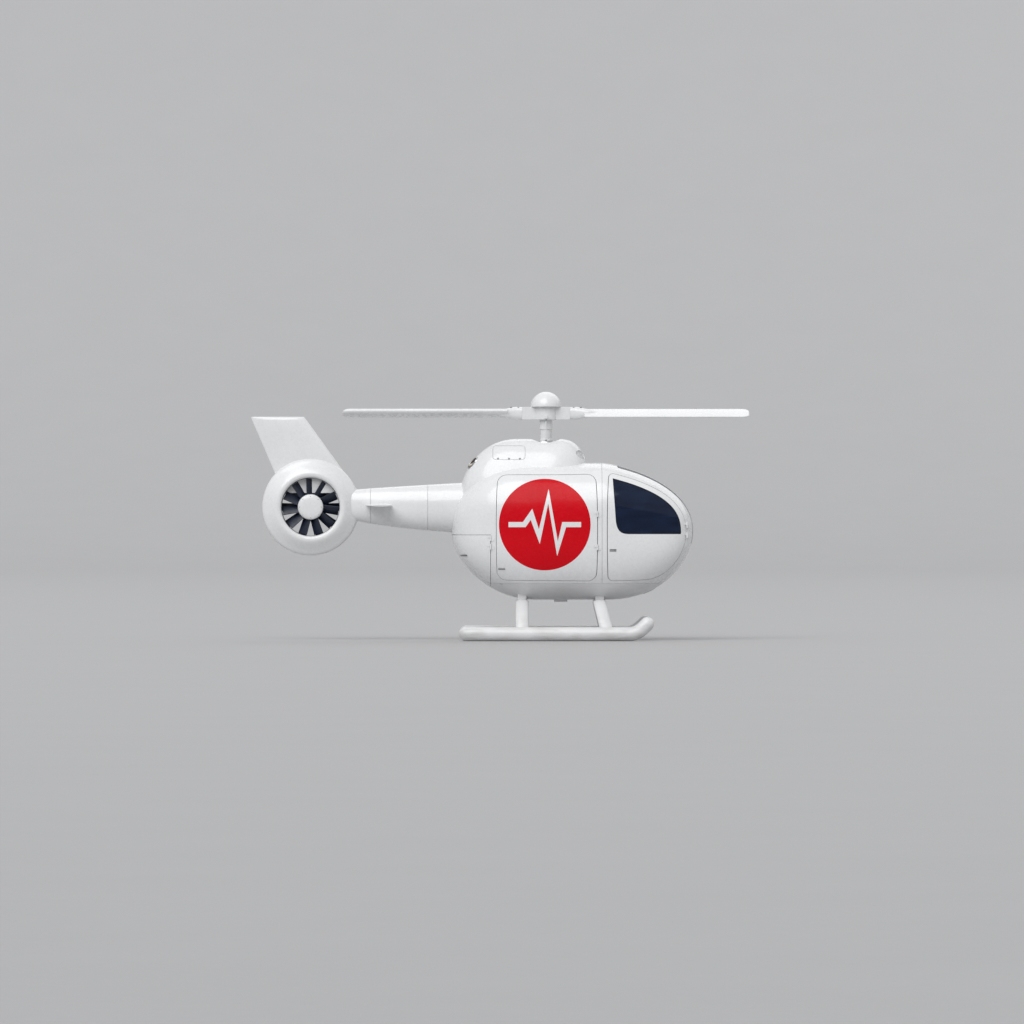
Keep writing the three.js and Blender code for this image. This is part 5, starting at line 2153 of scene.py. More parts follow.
@dataclass
class Skids(Assembly):
    """The two skid tubes and the two leg bows that carry them."""

    y: float = 1.02
    radius: float = 0.1165
    rear: float = -0.683
    straight: float = 2.12
    toe: tuple[float, float] = (2.433, 0.283)
    chord: float = 0.217
    thick: float = 0.096
    legs: Sequence[tuple[str, float, float]] = (("front", 1.655, 1.75), ("rear", 0.367, 0.367))
    bow: Curve = (
        (0, 0.625), (0.25, 0.625), (0.48, 0.643), (0.64, 0.615),
        (0.8, 0.505), (0.93, 0.355), (1.0, 0.24), (1.02, 0.18),
    )  # fmt: skip
    drop: float = 0.392
    saddle: tuple[float, float] = (0.075, 0.05)
    saddle_z: tuple[float, float] = (0.62, 0.79)
    saddle_y: float = 0.43

    def _tube(self) -> Shape:
        """One skid.

        Returns:
            A tube, straight, turned up at the toe and round at both ends.
        """
        r = self.radius
        start, end = (self.straight, r), self.toe
        bend = bezier((start, (self.straight + 0.15, r), (end[0] - 0.09, end[1] - 0.09), end), 18)
        dome = np.linspace(0.12, math.pi / 2, 9)
        slope = math.sqrt(0.5)
        rows = [(self.rear + r * (1 - math.cos(a)), r, r * math.sin(a)) for a in dome]
        rows += [(x, r, r) for x in np.linspace(self.rear + r, self.straight, 10)[1:-1]]
        rows += [(x, z, r) for x, z in bend]
        for a in dome[-2::-1]:
            ahead = r * math.cos(a) * slope
            rows.append((end[0] + ahead, end[1] + ahead, r * math.sin(a)))
        x, z, radii = np.array(rows).T
        return Shape().sweep(np.stack([x, 0 * x + self.y, z], axis=1), radii, 40)

    def _leg(self, top: float, foot: float) -> Shape:
        """One leg bow, a flattened tube from skid to skid.

        Args:
            top: X of its upper part.
            foot: X of its feet.

        Returns:
            The bow.
        """
        half = flowing(self.bow, 6)
        path = np.vstack([(half * [-1, 1])[:0:-1], half])
        turn = turns(28)
        out = self.thick / 2 * np.sin(turn)
        rings = []
        for (y, z), (ay, az) in zip(path, unit_rows(np.gradient(path, axis=0))):
            x = top + (foot - top) * min(1.2, max(0.0, (self.bow[0][1] - z) / self.drop))
            rings.append(np.stack([x + self.chord / 2 * np.cos(turn), y - az * out, z + ay * out], axis=1))
        return Shape().loft(rings)

    def build(self) -> None:
        """Builds skids, bows and saddles."""
        tube = self._tube()
        for side in Side:
            name = side.node("skid")
            self.place(tube.on(side), f"{name}_tube", [WHITE_WORN], Slot.WHITE, nodes=[name], sharp=60)
        (long, wide), (z0, z1) = self.saddle, self.saddle_z
        for name, top, foot in self.legs:
            bow, node = self._leg(top, foot), f"leg_bow_{name}"
            self.place(bow, f"{node}_tube", [WHITE_WORN], Slot.WHITE, nodes=[node], sharp=60)
            saddles = Shape()
            for y in (-self.saddle_y, self.saddle_y):
                saddles.block((top - long, y - wide, z0), (top + long, y + wide, z1), corner=0.02)
            self.place(saddles, f"leg_saddles_{name}", [WHITE_WORN], Slot.WHITE, bevel=0.006)


@dataclass
class Rotor(Assembly):
    """Mast, hub, dome, swashplate and the two blades."""

    centre: Triple = (0.765, 0.0, 3.775)
    radius: float = 3.385
    tip: float = 0.13
    stations: Sequence[float] = (0.64, 0.9, 1.4, 2.0, 2.6, 3.1)
    cuff: Curve = ((0.4, 0.092, 0.106), (0.52, 0.1, 0.106), (0.7, 0.13, 0.07), (0.86, 0.09, 0.034))
    bolt: Curve = ((0.017, 0.09), (0.017, 0.1065), (0.01, 0.108))
    bolts_x: tuple[float, float] = (0.46, 0.58)
    bolts_y: float = 0.05
    horn: tuple[float, float, float] = (0.03, 0.06, 0.236)
    horn_drop: tuple[float, float] = (0.092, 0.046)
    bar: float = 0.217
    arms: tuple[float, float] = (0.3995, 0.088)
    chord: float = 0.43
    thick: float = 0.104
    pitch: float = 15.0
    mast: tuple[float, float] = (0.108, 3.215)
    mast_collar: Curve = ((0.0, 3.34), (0.012, 3.35), (0.012, 3.5), (0.0, 3.51))
    seat: float = 0.0003
    hub: tuple[float, float] = (0.185, 0.008)
    dome: tuple[float, float] = (0.258, 0.25)
    plate: Triple = (0.232, 3.258, 3.312)
    link: tuple[float, float] = (0.21, 0.009)

    def _section(self, r: float, share: float) -> np.ndarray:
        """A section of the blade.

        Args:
            r: Its radius.
            share: Its size against the whole chord.

        Returns:
            Its outline.
        """
        c, s = math.cos(math.radians(self.pitch)), math.sin(math.radians(self.pitch))
        place, t = wing_section(self.thick / 2 * share).T
        back = (0.42 - place) * self.chord * share
        return np.stack([0 * t + r, back * c - t * s, back * s + t * c], axis=1) + self.centre

    def _blade(self) -> Shape:
        """One blade.

        Returns:
            The blade that points ahead, with its cuff and bolts.
        """
        start, last = self.radius - self.tip, 1.35
        rings = [self._section(r, 1.0) for r in (*self.stations, start)]
        for a in np.linspace(0.2, last, 6):
            rings.append(self._section(start + self.tip * math.sin(a) / math.sin(last), math.cos(a) ** 0.6))
        shape = Shape().loft(rings)
        c, s = np.cos(turns(28)), np.sin(turns(28))
        y, z = np.sign(c) * np.abs(c) ** 0.7, np.sign(s) * np.abs(s) ** 0.7
        rings = [np.stack([0 * y + r, wide * y, tall * z], axis=1) for r, wide, tall in flowing(self.cuff, 4)]
        shape.loft([ring + self.centre for ring in rings])
        for x in self.bolts_x:
            for y in (-self.bolts_y, self.bolts_y):
                shape.spindle(self.bolt, np.array(self.centre) + [x, y, 0], Axis.Z, 12, 1)
        return shape

    def build(self) -> None:
        """Builds the turning pieces above the cowling."""
        cx, cy, cz = self.centre
        axis = (cx, cy, 0.0)
        low, high = cz - self.bar / 2, cz + self.bar / 2
        r, foot = self.mast
        top = low - self.seat
        mast = [(r - 0.006, foot), (r, foot + 0.006), *((r - inset, z) for inset, z in self.mast_collar)]
        mast += [(r, top - 0.03), (r - 0.004, top)]
        tube = Shape().spindle(mast, axis, Axis.Z, 56)
        self.place(tube, "rotor_mast_tube", [WHITE], Slot.WHITE, Body.ROTOR, ["rotor_mast"], sharp=30)
        hub, (half, edge), (long, wide) = Shape(), self.hub, self.arms
        rim = [(half - 0.007, low), (half, low + edge), (half, high - edge), (half - 0.007, high)]
        hub.spindle(rim, axis, Axis.Z, 64)
        hub.block((cx - long, -wide, low + 0.004), (cx + long, wide, high - 0.004))
        (thick, near, far), (deep, shallow) = self.horn, self.horn_drop
        for low_y, high_y in ((near, far), (-far, -near)):
            lowest, highest = (cx - thick, low_y, cz - deep), (cx + thick, high_y, cz - shallow)
            hub.block(lowest, highest, corner=0.014)
        nodes = ["rotor_hub"]
        self.place(hub, "rotor_hub_block", [WHITE], Slot.WHITE, Body.ROTOR, nodes, sharp=30, bevel=0.004)
        wide, tall = self.dome
        base = high + self.seat
        arc = [(wide * math.cos(a), base + tall * math.sin(a)) for a in np.linspace(0, math.pi / 2, 20)]
        dome = Shape().lathe([(0, base), *arc[:-1], (0, base + tall)], axis, Axis.Z, 72)
        self.place(dome, "rotor_dome_cap", [WHITE], Slot.WHITE, Body.ROTOR, ["rotor_dome"], sharp=50)
        front = self._blade()
        for word, blade in (("front", front), ("rear", front.turned(math.pi, Axis.Z, self.centre))):
            node = f"rotor_blade_{word}"
            self.place(blade, f"{node}_skin", [WHITE, BARE], Slot.WHITE, Body.ROTOR, [node], sharp=45)
        self._swashplate()

    def _swashplate(self) -> None:
        """The swashplate round the mast and its two links up to the hub's horns."""
        cx, _, cz = self.centre
        outer, z0, z1 = self.plate
        bore, rim, step = self.mast[0] + 0.0004, outer - 0.006, z1 - 0.008
        profile = [(bore, z0), (0.15, z0), (0.165, z0 + 0.012), (rim, z0 + 0.012), (outer, (z0 + z1) / 2)]
        profile += [(rim, step), (0.16, step), (0.15, z1), (bore, z1)]
        plate = Shape().lathe(profile, (cx, 0, 0), Axis.Z, 64)
        out, radius = self.link
        for y in (-out, out):
            plate.sweep([(cx, y, z1 - 0.012), (cx, y, cz - 0.0924)], radius, 16, 1)
            for z in (z1 - 0.012, cz - 0.13):
                end = [(0.013, z), (0.014, z + 0.004), (0.014, z + 0.034), (0.013, z + 0.0375)]
                plate.spindle(end, (cx, y, 0), Axis.Z, 16)
        self.place(plate, "swashplate_ring", [BARE, WHITE], Slot.METAL, Body.ROTOR, ["swashplate"], sharp=30)


# Inside the cabin


@dataclass
class Cushion:
    """A stuffed pad that lies flat round the origin: a rounded form, puffed up as cloth and then sewn."""

    size: Triple
    channels: Sequence[float] = ()
    corner: float = 0.05
    edge: float = 0.024
    voxel: float = 0.011
    swell: float = 0.012
    frames: int = 20
    pressure: float = 4.0
    channel: tuple[float, float] = (0.007, 0.008)
    piping: float = 0.004

    def _form(self) -> bpy.types.Object:
        """The pad before it is stuffed.

        Returns:
            Its Blender object.
        """
        x, y, z = (s / 2 for s in self.size)
        edge = min(self.edge, z)
        rings = []
        for angle in np.linspace(-math.pi / 2, math.pi / 2, 10):
            inset = edge * (1 - math.cos(angle))
            height = math.copysign(z - edge, angle) + edge * math.sin(angle)
            outline = rounded_box(inset - x, x - inset, inset - y, y - inset, self.corner)
            rings.append(np.column_stack([outline, np.full(len(outline), height)]))
        return Shape().loft(rings).make("pad_form", [CLOTH])

    @staticmethod
    def _apply(obj: bpy.types.Object) -> None:
        """Applies every modifier of an object.

        Args:
            obj: The object.
        """
        made = bpy.data.meshes.new_from_object(obj.evaluated_get(bpy.context.evaluated_depsgraph_get()))
        obj.modifiers.clear()
        obj.data = made

    @staticmethod
    def _points(mesh: bpy.types.Mesh) -> np.ndarray:
        """A mesh's points.

        Args:
            mesh: The mesh.

        Returns:
            Its points, one a row.
        """
        flat = np.empty(3 * len(mesh.vertices))
        mesh.vertices.foreach_get("co", flat)
        return flat.reshape(-1, 3)

    def _puff(self, obj: bpy.types.Object) -> None:
        """Blows the pad up as cloth, and keeps each point near its place.

        Args:
            obj: The pad.
        """
        cloth = obj.modifiers.new("stuffing", "CLOTH")
        cloth.settings.quality = 4
        cloth.settings.use_pressure = True
        cloth.settings.uniform_pressure_force = self.pressure
        cloth.settings.effector_weights.gravity = 0.0
        cloth.point_cache.frame_start, cloth.point_cache.frame_end = 1, self.frames
        scene = bpy.context.scene
        before = self._points(obj.data)
        for number in range(1, self.frames + 1):
            scene.frame_set(number)
        step = self._points(obj.evaluated_get(bpy.context.evaluated_depsgraph_get()).data) - before
        obj.modifiers.clear()
        scene.frame_set(1)
        reach = np.linalg.norm(step, axis=1)
        step *= np.minimum(1, self.swell / np.maximum(reach, 1e-9))[:, None]
        obj.data.vertices.foreach_set("co", (before + step).ravel())

    def sewn(self) -> tuple[Shape, Shape]:
        """Makes the pad.

        Returns:
            The finished pad, and the piping round its side.
        """
        obj = self._form()
        grain = obj.modifiers.new("grain", "REMESH")
        grain.mode, grain.voxel_size = "VOXEL", self.voxel
        self._apply(obj)
        self._puff(obj)
        obj.modifiers.new("soft", "SUBSURF").levels = 1
        self._apply(obj)
        points = self._points(obj.data)
        faces = [tuple(face.vertices) for face in obj.data.polygons]
        bpy.data.objects.remove(obj)
        outer = np.abs(points[:, 2]) > self.size[2] * 0.22
        deep, wide = self.channel
        for y in self.channels:
            sunk = deep * np.exp(-(((points[:, 1] - y) / wide) ** 2))
            points[:, 2] -= np.sign(points[:, 2]) * sunk * outer
        tree = BVHTree.FromPolygons(points.tolist(), faces)
        x, y, _ = (s / 2 for s in self.size)
        rim = []
        for place in evenly(rounded_box(-x, x, -y, y, self.corner), 0.015):
            start = Vector((*(place * 1.4), 0.0))
            hit = tree.ray_cast(start, -start.normalized())[0]
            rim.append(tuple(hit or (*place, 0.0)))
        return Shape().add(points, faces), Shape().sweep(rim, self.piping, 8, closed=True)


class Pad(Enum):
    """The cushions of the seats, with the word in their names."""

    PAN = "pan"
    TALL_BACK = "tall_back"
    BACK = "back"
    HEAD = "head"


@dataclass(frozen=True)
class SeatPlan:
    """Where a seat stands: its middle, the back's rear face, the pan's ends, its pedestal and its heights."""

    name: str
    y: float
    back: float
    pan: tuple[float, float]
    foot: Triple
    height: float
    top: float
    head: bool


@dataclass
class Interior(Assembly):
    """Seats, instrument panel, sticks, stretcher and floor."""

    floor: float = 0.9355
    step_floor: float = 1.0705
    half: float = 0.225
    plans: Sequence[SeatPlan] = (
        SeatPlan("pilot_seat_left", 0.425, 1.912, (2.012, 2.505), (2.08, 2.42, 0.165), 1.29, 2.165, True),
        SeatPlan("pilot_seat_right", -0.425, 1.912, (2.012, 2.505), (2.08, 2.42, 0.165), 1.29, 2.165, True),
        SeatPlan("attendant_seat", 0.47, 0.562, (0.655, 1.105), (0.73, 1.03, 0.135), 1.33, 1.955, False),
    )
    runner: Triple = (0.05, 0.03, 0.022)
    inset: float = 0.02
    pan_drop: float = 0.075
    under_pan: tuple[float, float] = (0.045, 0.035)
    back_thick: float = 0.028
    cushion_back: float = 0.07
    cushion_drop: float = 0.039
    post: tuple[float, float, float, float] = (0.05, 0.06, 0.05, 0.008)
    post_back: float = 0.045
    head_rise: float = 0.086
    pad: tuple[float, float] = (0.425, 0.062)
    channels: Sequence[float] = (-0.13, -0.045, 0.045, 0.13)
    head_pad: Triple = (0.15, 0.235, 0.055)
    mattress: Triple = (1.5, 0.405, 0.06)
    strap: tuple[float, float] = (0.042, 0.003)
    board: tuple[Triple, Triple] = ((2.772, -0.42, 1.33), (2.88, 0.42, 1.69))
    shade: tuple[Triple, Triple] = ((2.684, -0.448, 1.683), (2.9, 0.448, 1.719))
    console: tuple[Triple, Triple] = ((2.505, -0.093, step_floor), (2.79, 0.093, 1.345))
    screens: Sequence[float] = (-0.315, -0.13, 0.13, 0.315)
    bezel: Curve = ((2.762, 2.774), (-0.085, 0.085), (1.475, 1.665))
    glass: Curve = ((2.7605, 2.7622), (-0.071, 0.071), (1.495, 1.645))
    keys: Sequence[float] = (-0.056, -0.028, 0.0, 0.028, 0.056)
    key: Curve = ((0.005, 2.756), (0.006, 2.763))
    key_z: float = 1.485
    knobs: float = 0.36
    knob: Curve = ((0.009, 2.752), (0.011, 2.773))
    knob_z: float = 1.425
    toggle: Curve = ((2.762, 2.773), (-0.006, 0.006), (1.37, 1.395))
    radios: Sequence[float] = (1.14, 1.2, 1.26)
    radio: Curve = ((2.498, 2.507), (-0.075, 0.075), (0.0, 0.045))
    window: Curve = ((2.4965, 2.4985), (-0.03, 0.05), (0.012, 0.034))
    dial: Curve = ((0.009, 2.484), (0.011, 2.5))
    dial_place: tuple[float, float] = (-0.055, 0.022)
    stick: tuple[float, float] = (2.64, 0.425)
    rod: Curve = ((2.625, 1.25), (2.607, 1.46))
    grip: Curve = (
        (2.606, 1.462, 0.013), (2.605, 1.468, 0.019), (2.602, 1.5, 0.021), (2.598, 1.535, 0.018),
        (2.594, 1.565, 0.021), (2.591, 1.59, 0.022), (2.59, 1.6, 0.015),
    )  # fmt: skip
    bed: tuple[float, float, float, float] = (-0.04, 1.54, -0.632, -0.188)
    bed_z: float = 1.3
    bed_tubes: Triple = (0.0165, 0.011, 0.009)
    bed_legs: Sequence[float] = (0.06, 1.4)
    bed_straps: Sequence[float] = (0.3, 0.78, 1.28)
    rail: Curve = ((0.4, 1.305), (0.42, 1.37), (0.48, 1.388), (1.1, 1.388), (1.16, 1.37), (1.18, 1.305))
    tracks: Sequence[float] = (-0.6, -0.2, 0.2, 0.6)
    track: tuple[float, float] = (1.55, 0.014)
    track_height: tuple[float, float] = (0.0005, 0.004)

    def _seat(self, plan: SeatPlan, pads: dict[Pad, tuple[Shape, Shape]]) -> None:
        """One seat: pedestal, shell, cushions and harness.

        Args:
            plan: Where it stands.
            pads: The cushions with their piping, by kind.
        """
        y, (x0, x1) = plan.y, plan.pan
        f0, f1, fy = plan.foot
        low, high = y - self.half, y + self.half
        (out, wide, thick), inset = self.runner, self.inset
        foot, tray = self.floor + thick, plan.height - self.pan_drop
        neck, rim = tray - self.under_pan[0], tray - self.under_pan[1]
        shell = Shape()
        for rail in (y - fy + inset, y + fy - inset - wide):
            shell.block((f0 - out, rail, self.floor), (f1 + out, rail + wide, foot), 1, 0.008)
        shell.block((f0, y - fy, foot), (f1, y + fy, neck), 0, 0.06)
        shell.block((f0 + inset, y - fy + inset, neck), (f1 - inset, y + fy - inset, rim), 1, 0.04)
        shell.block((x0 - inset, low, rim), (x1, high, tray), 0, 0.07)
        face = plan.back + self.back_thick
        shell.block((plan.back, low, tray - inset), (face, high, plan.top), 0, 0.08, Axis.X)
        middle, front = plan.back + self.post_back, plan.back + self.cushion_back
        rise = (plan.height + plan.top) / 2 - 0.005
        places = [(Pad.PAN, ((x0 + x1) / 2 + 0.008, y, plan.height - self.cushion_drop), False)]
        if plan.head:
            apart, below, above, radius = self.post
            for post in (y - apart, y + apart):
                ends = [(middle, post, plan.top - below), (middle, post, plan.top + above)]
                shell.sweep(ends, radius, 10, 1)
            places.append((Pad.TALL_BACK, (front, y, rise), True))
            places.append((Pad.HEAD, (middle, y, plan.top + self.head_rise), True))
        else:
            places.append((Pad.BACK, (front, y, rise), True))
        self._harness(shell, plan)
        name, nodes = f"{plan.name}_shell", [plan.name]
        self.place(shell, name, [BLACK, BARE, STRAPS], Slot.PLASTIC, nodes=nodes, bevel=0.003)
        for kind, place, stands in places:
            for shape, word, finish in zip(pads[kind], ("cushion", "piping"), (CLOTH, STRAPS)):
                made = shape.turned(-math.pi / 2, Axis.Y) if stands else shape
                name = f"{plan.name}_{kind.value}_{word}"
                obj = self.place(made.moved(place), name, [finish], Slot.FABRIC, sharp=80)

    def _harness(self, shell: Shape, plan: SeatPlan) -> None:
        """Straps over the back and the pan, meeting in a buckle.

        Args:
            shell: The seat's shell, which gets them.
            plan: Where the seat stands.
        """
        y, back, top, face, pan = plan.y, plan.back, plan.top, plan.back + 0.112, plan.height + 0.008
        buckle = face + 0.05
        for sign in (-1, 1):
            over = (
                (back + 0.012, 0.07, top - 0.03),
                (back + 0.016, 0.07, top + 0.003),
                (back + 0.06, 0.07, top + 0.006),
                (face - 0.004, 0.072, top - 0.07),
                (face + 0.006, 0.076, top - 0.2),
                (face + 0.006, 0.074, pan + 0.3),
                (face + 0.014, 0.05, pan + 0.14),
                (buckle, 0.02, pan + 0.045),
            )
            lap = (
                (face - 0.02, 0.222, pan - 0.05),
                (face + 0.01, 0.215, pan + 0.004),
                (face + 0.04, 0.13, pan + 0.014),
                (buckle, 0.02, pan + 0.026),
            )
            for line, side in ((over, (0, 1, 0)), (lap, (1, 0, 0.2))):
                shell.band(np.array(line) * (1, sign, 1) + (0, y, 0), side, *self.strap, 2)
        low, high = (buckle - 0.03, y - 0.032, pan + 0.022), (buckle + 0.03, y + 0.032, pan + 0.046)
        shell.block(low, high, 1, 0.012)

    def _panel(self) -> None:
        """The instrument panel with its screens, and the pedestal between the pilots."""
        shape = Shape().block(*self.board, 0, 0.05, Axis.X)
        shape.block(*self.shade, 0, 0.06)
        shape.block(*self.console, 0, 0.025)
        for y in self.screens:
            self._tile(shape, self.bezel, (y, 0), 0, 0.014)
            self._tile(shape, self.glass, (y, 0), 1, 0.004)
            for step in self.keys:
                shape.spindle(self.key, (0, y + step, self.key_z), Axis.X, 12, 2)
        for y in np.linspace(-self.knobs, self.knobs, 13):
            shape.spindle(self.knob, (0, y, self.knob_z), Axis.X, 14, 2)
            self._tile(shape, self.toggle, (y, 0), 2, 0.003)
        for z in self.radios:
            self._tile(shape, self.radio, (0, z), 0, 0.006)
            self._tile(shape, self.window, (0, z), 1, 0.003)
            y, rise = self.dial_place
            shape.spindle(self.dial, (0, y, z + rise), Axis.X, 14, 2)
        finishes, nodes = [BLACK, SCREEN_LIGHT, RUBBER], ["instrument_panel"]
        self.place(shape, "instrument_panel_face", finishes, Slot.PLASTIC, nodes=nodes, bevel=0.0015)

    @staticmethod
    def _tile(shape: Shape, tile: Curve, at: Sequence[float], finish: int, corner: float) -> None:
        """Adds a small plate that faces the pilots.

        Args:
            shape: The shape that gets it.
            tile: Its limits in X, Y and Z.
            at: Y and Z that it is moved by.
            finish: Number of the finish.
            corner: Radius of its corners.
        """
        (x0, x1), (y0, y1), (z0, z1) = tile
        y, z = at
        shape.block((x0, y0 + y, z0 + z), (x1, y1 + y, z1 + z), finish, corner, Axis.X)

    def _stick(self, side: Side) -> None:
        """One control stick with its boot and grip.

        Args:
            side: The pilot's side.
        """
        floor, name = self.step_floor, side.node("cyclic_stick")
        middle, y = self.stick[0], self.stick[1] * side.sign
        boot = [(0.06, floor)]
        for k in range(6):
            fold = 0.003 if k % 2 else -0.003
            boot.append((0.058 - 0.0085 * k + fold, floor + 0.003 + 0.0095 * k))
        boot.append((0.012, floor + 0.062))
        shape = Shape().spindle(boot, (middle, y, 0), Axis.Z, 28, 1)
        way = ((middle - 0.002, floor + 0.02), *self.rod)
        shape.sweep([(x, y, z) for x, z in flowing(way, 6)], 0.0115, 14, 2)
        shape.sweep([(x, y, z) for x, z, _ in self.grip], [r for _, _, r in self.grip], 18)
        shape.spindle(((0.006, 1.598), (0.006, 1.606)), (2.592, y, 0), Axis.Z, 10, 1)
        self.place(shape, f"{name}_grip", [BLACK, RUBBER, BARE], Slot.PLASTIC, nodes=[name], sharp=40)

    def _stretcher(self, pad: tuple[Shape, Shape]) -> None:
        """The stretcher: tube frame on two legs, mattress and straps.

        Args:
            pad: The mattress and its piping.
        """
        (x0, x1, y0, y1), z = self.bed, self.bed_z
        outline = evenly(rounded_box(*self.bed, 0.09), 0.04)
        frame_tube, rung_tube, rail_tube = self.bed_tubes
        path = np.column_stack([outline, np.full(len(outline), z)])
        shape = Shape().sweep(path, frame_tube, 14, closed=True)
        shape.block((x0 + 0.01, y0 + 0.01, z + 0.008), (x1 - 0.01, y1 - 0.01, z + 0.018), 1, 0.08)
        for x in np.arange(x0 + 0.14, x1 - 0.05, 0.26):
            shape.sweep([(x, y0, z), (x, y1, z)], rung_tube, 10)
        for x in self.bed_legs:
            shape.block((x, -0.54, self.floor), (x + 0.09, -0.22, self.floor + 0.03), 1, 0.02)
            shape.block((x + 0.01, -0.5, self.floor + 0.03), (x + 0.08, -0.26, 1.285), 0, 0.03)
        for y in (y0, y1):
            shape.sweep(flowing([(x, y, height) for x, height in self.rail], 5), rail_tube, 10)
        for x in self.bed_straps:
            near = [(x, y0 - 0.012, z), (x, y0 + 0.008, 1.36), (x, y0 + 0.06, 1.401)]
            far = [(x, y1 - 0.06, 1.401), (x, y1 - 0.008, 1.36), (x, y1 + 0.012, z)]
            shape.band([*near, (x, -0.41, 1.408), *far], (1, 0, 0), 0.05, 0.003, 2)
            shape.block((x - 0.03, -0.44, 1.405), (x + 0.03, -0.38, 1.417), 0, 0.008)
        self.place(shape, "stretcher_frame", [BARE, BLACK, STRAPS], Slot.METAL, nodes=["stretcher"], sharp=40)
        middle = ((x0 + x1) / 2, (y0 + y1) / 2, z + 0.057)
        mattress = self.place(pad[0].moved(middle), "stretcher_mattress", [VINYL], Slot.FABRIC, sharp=80)
        self.place(pad[1].moved(middle), "stretcher_piping", [STRAPS], Slot.FABRIC, sharp=80)

    def build(self) -> None:
        """Builds everything inside the cabin."""
        lengths = {Pad.PAN: 0.465, Pad.TALL_BACK: 0.83, Pad.BACK: 0.6}
        pads = {kind: Cushion((length, *self.pad), self.channels).sewn() for kind, length in lengths.items()}
        pads[Pad.HEAD] = Cushion(self.head_pad, corner=0.04).sewn()
        for plan in self.plans:
            self._seat(plan, pads)
        self._panel()
        for side in Side:
            self._stick(side)
        mattress = Cushion(self.mattress, corner=0.07, edge=0.022, voxel=0.013, swell=0.008)
        self._stretcher(mattress.sewn())
        refinish("cabin_floor", MATTING)
        tracks = Shape()
        (long, half), (sunk, proud) = self.track, self.track_height
        for y in self.tracks:
            low, high = (0.0, y - half, self.floor - sunk), (long, y + half, self.floor + proud)
            tracks.block(low, high, 0, 0.006)
        self.place(tracks, "cabin_floor_tracks", [BARE], Slot.METAL)


# Fittings outside


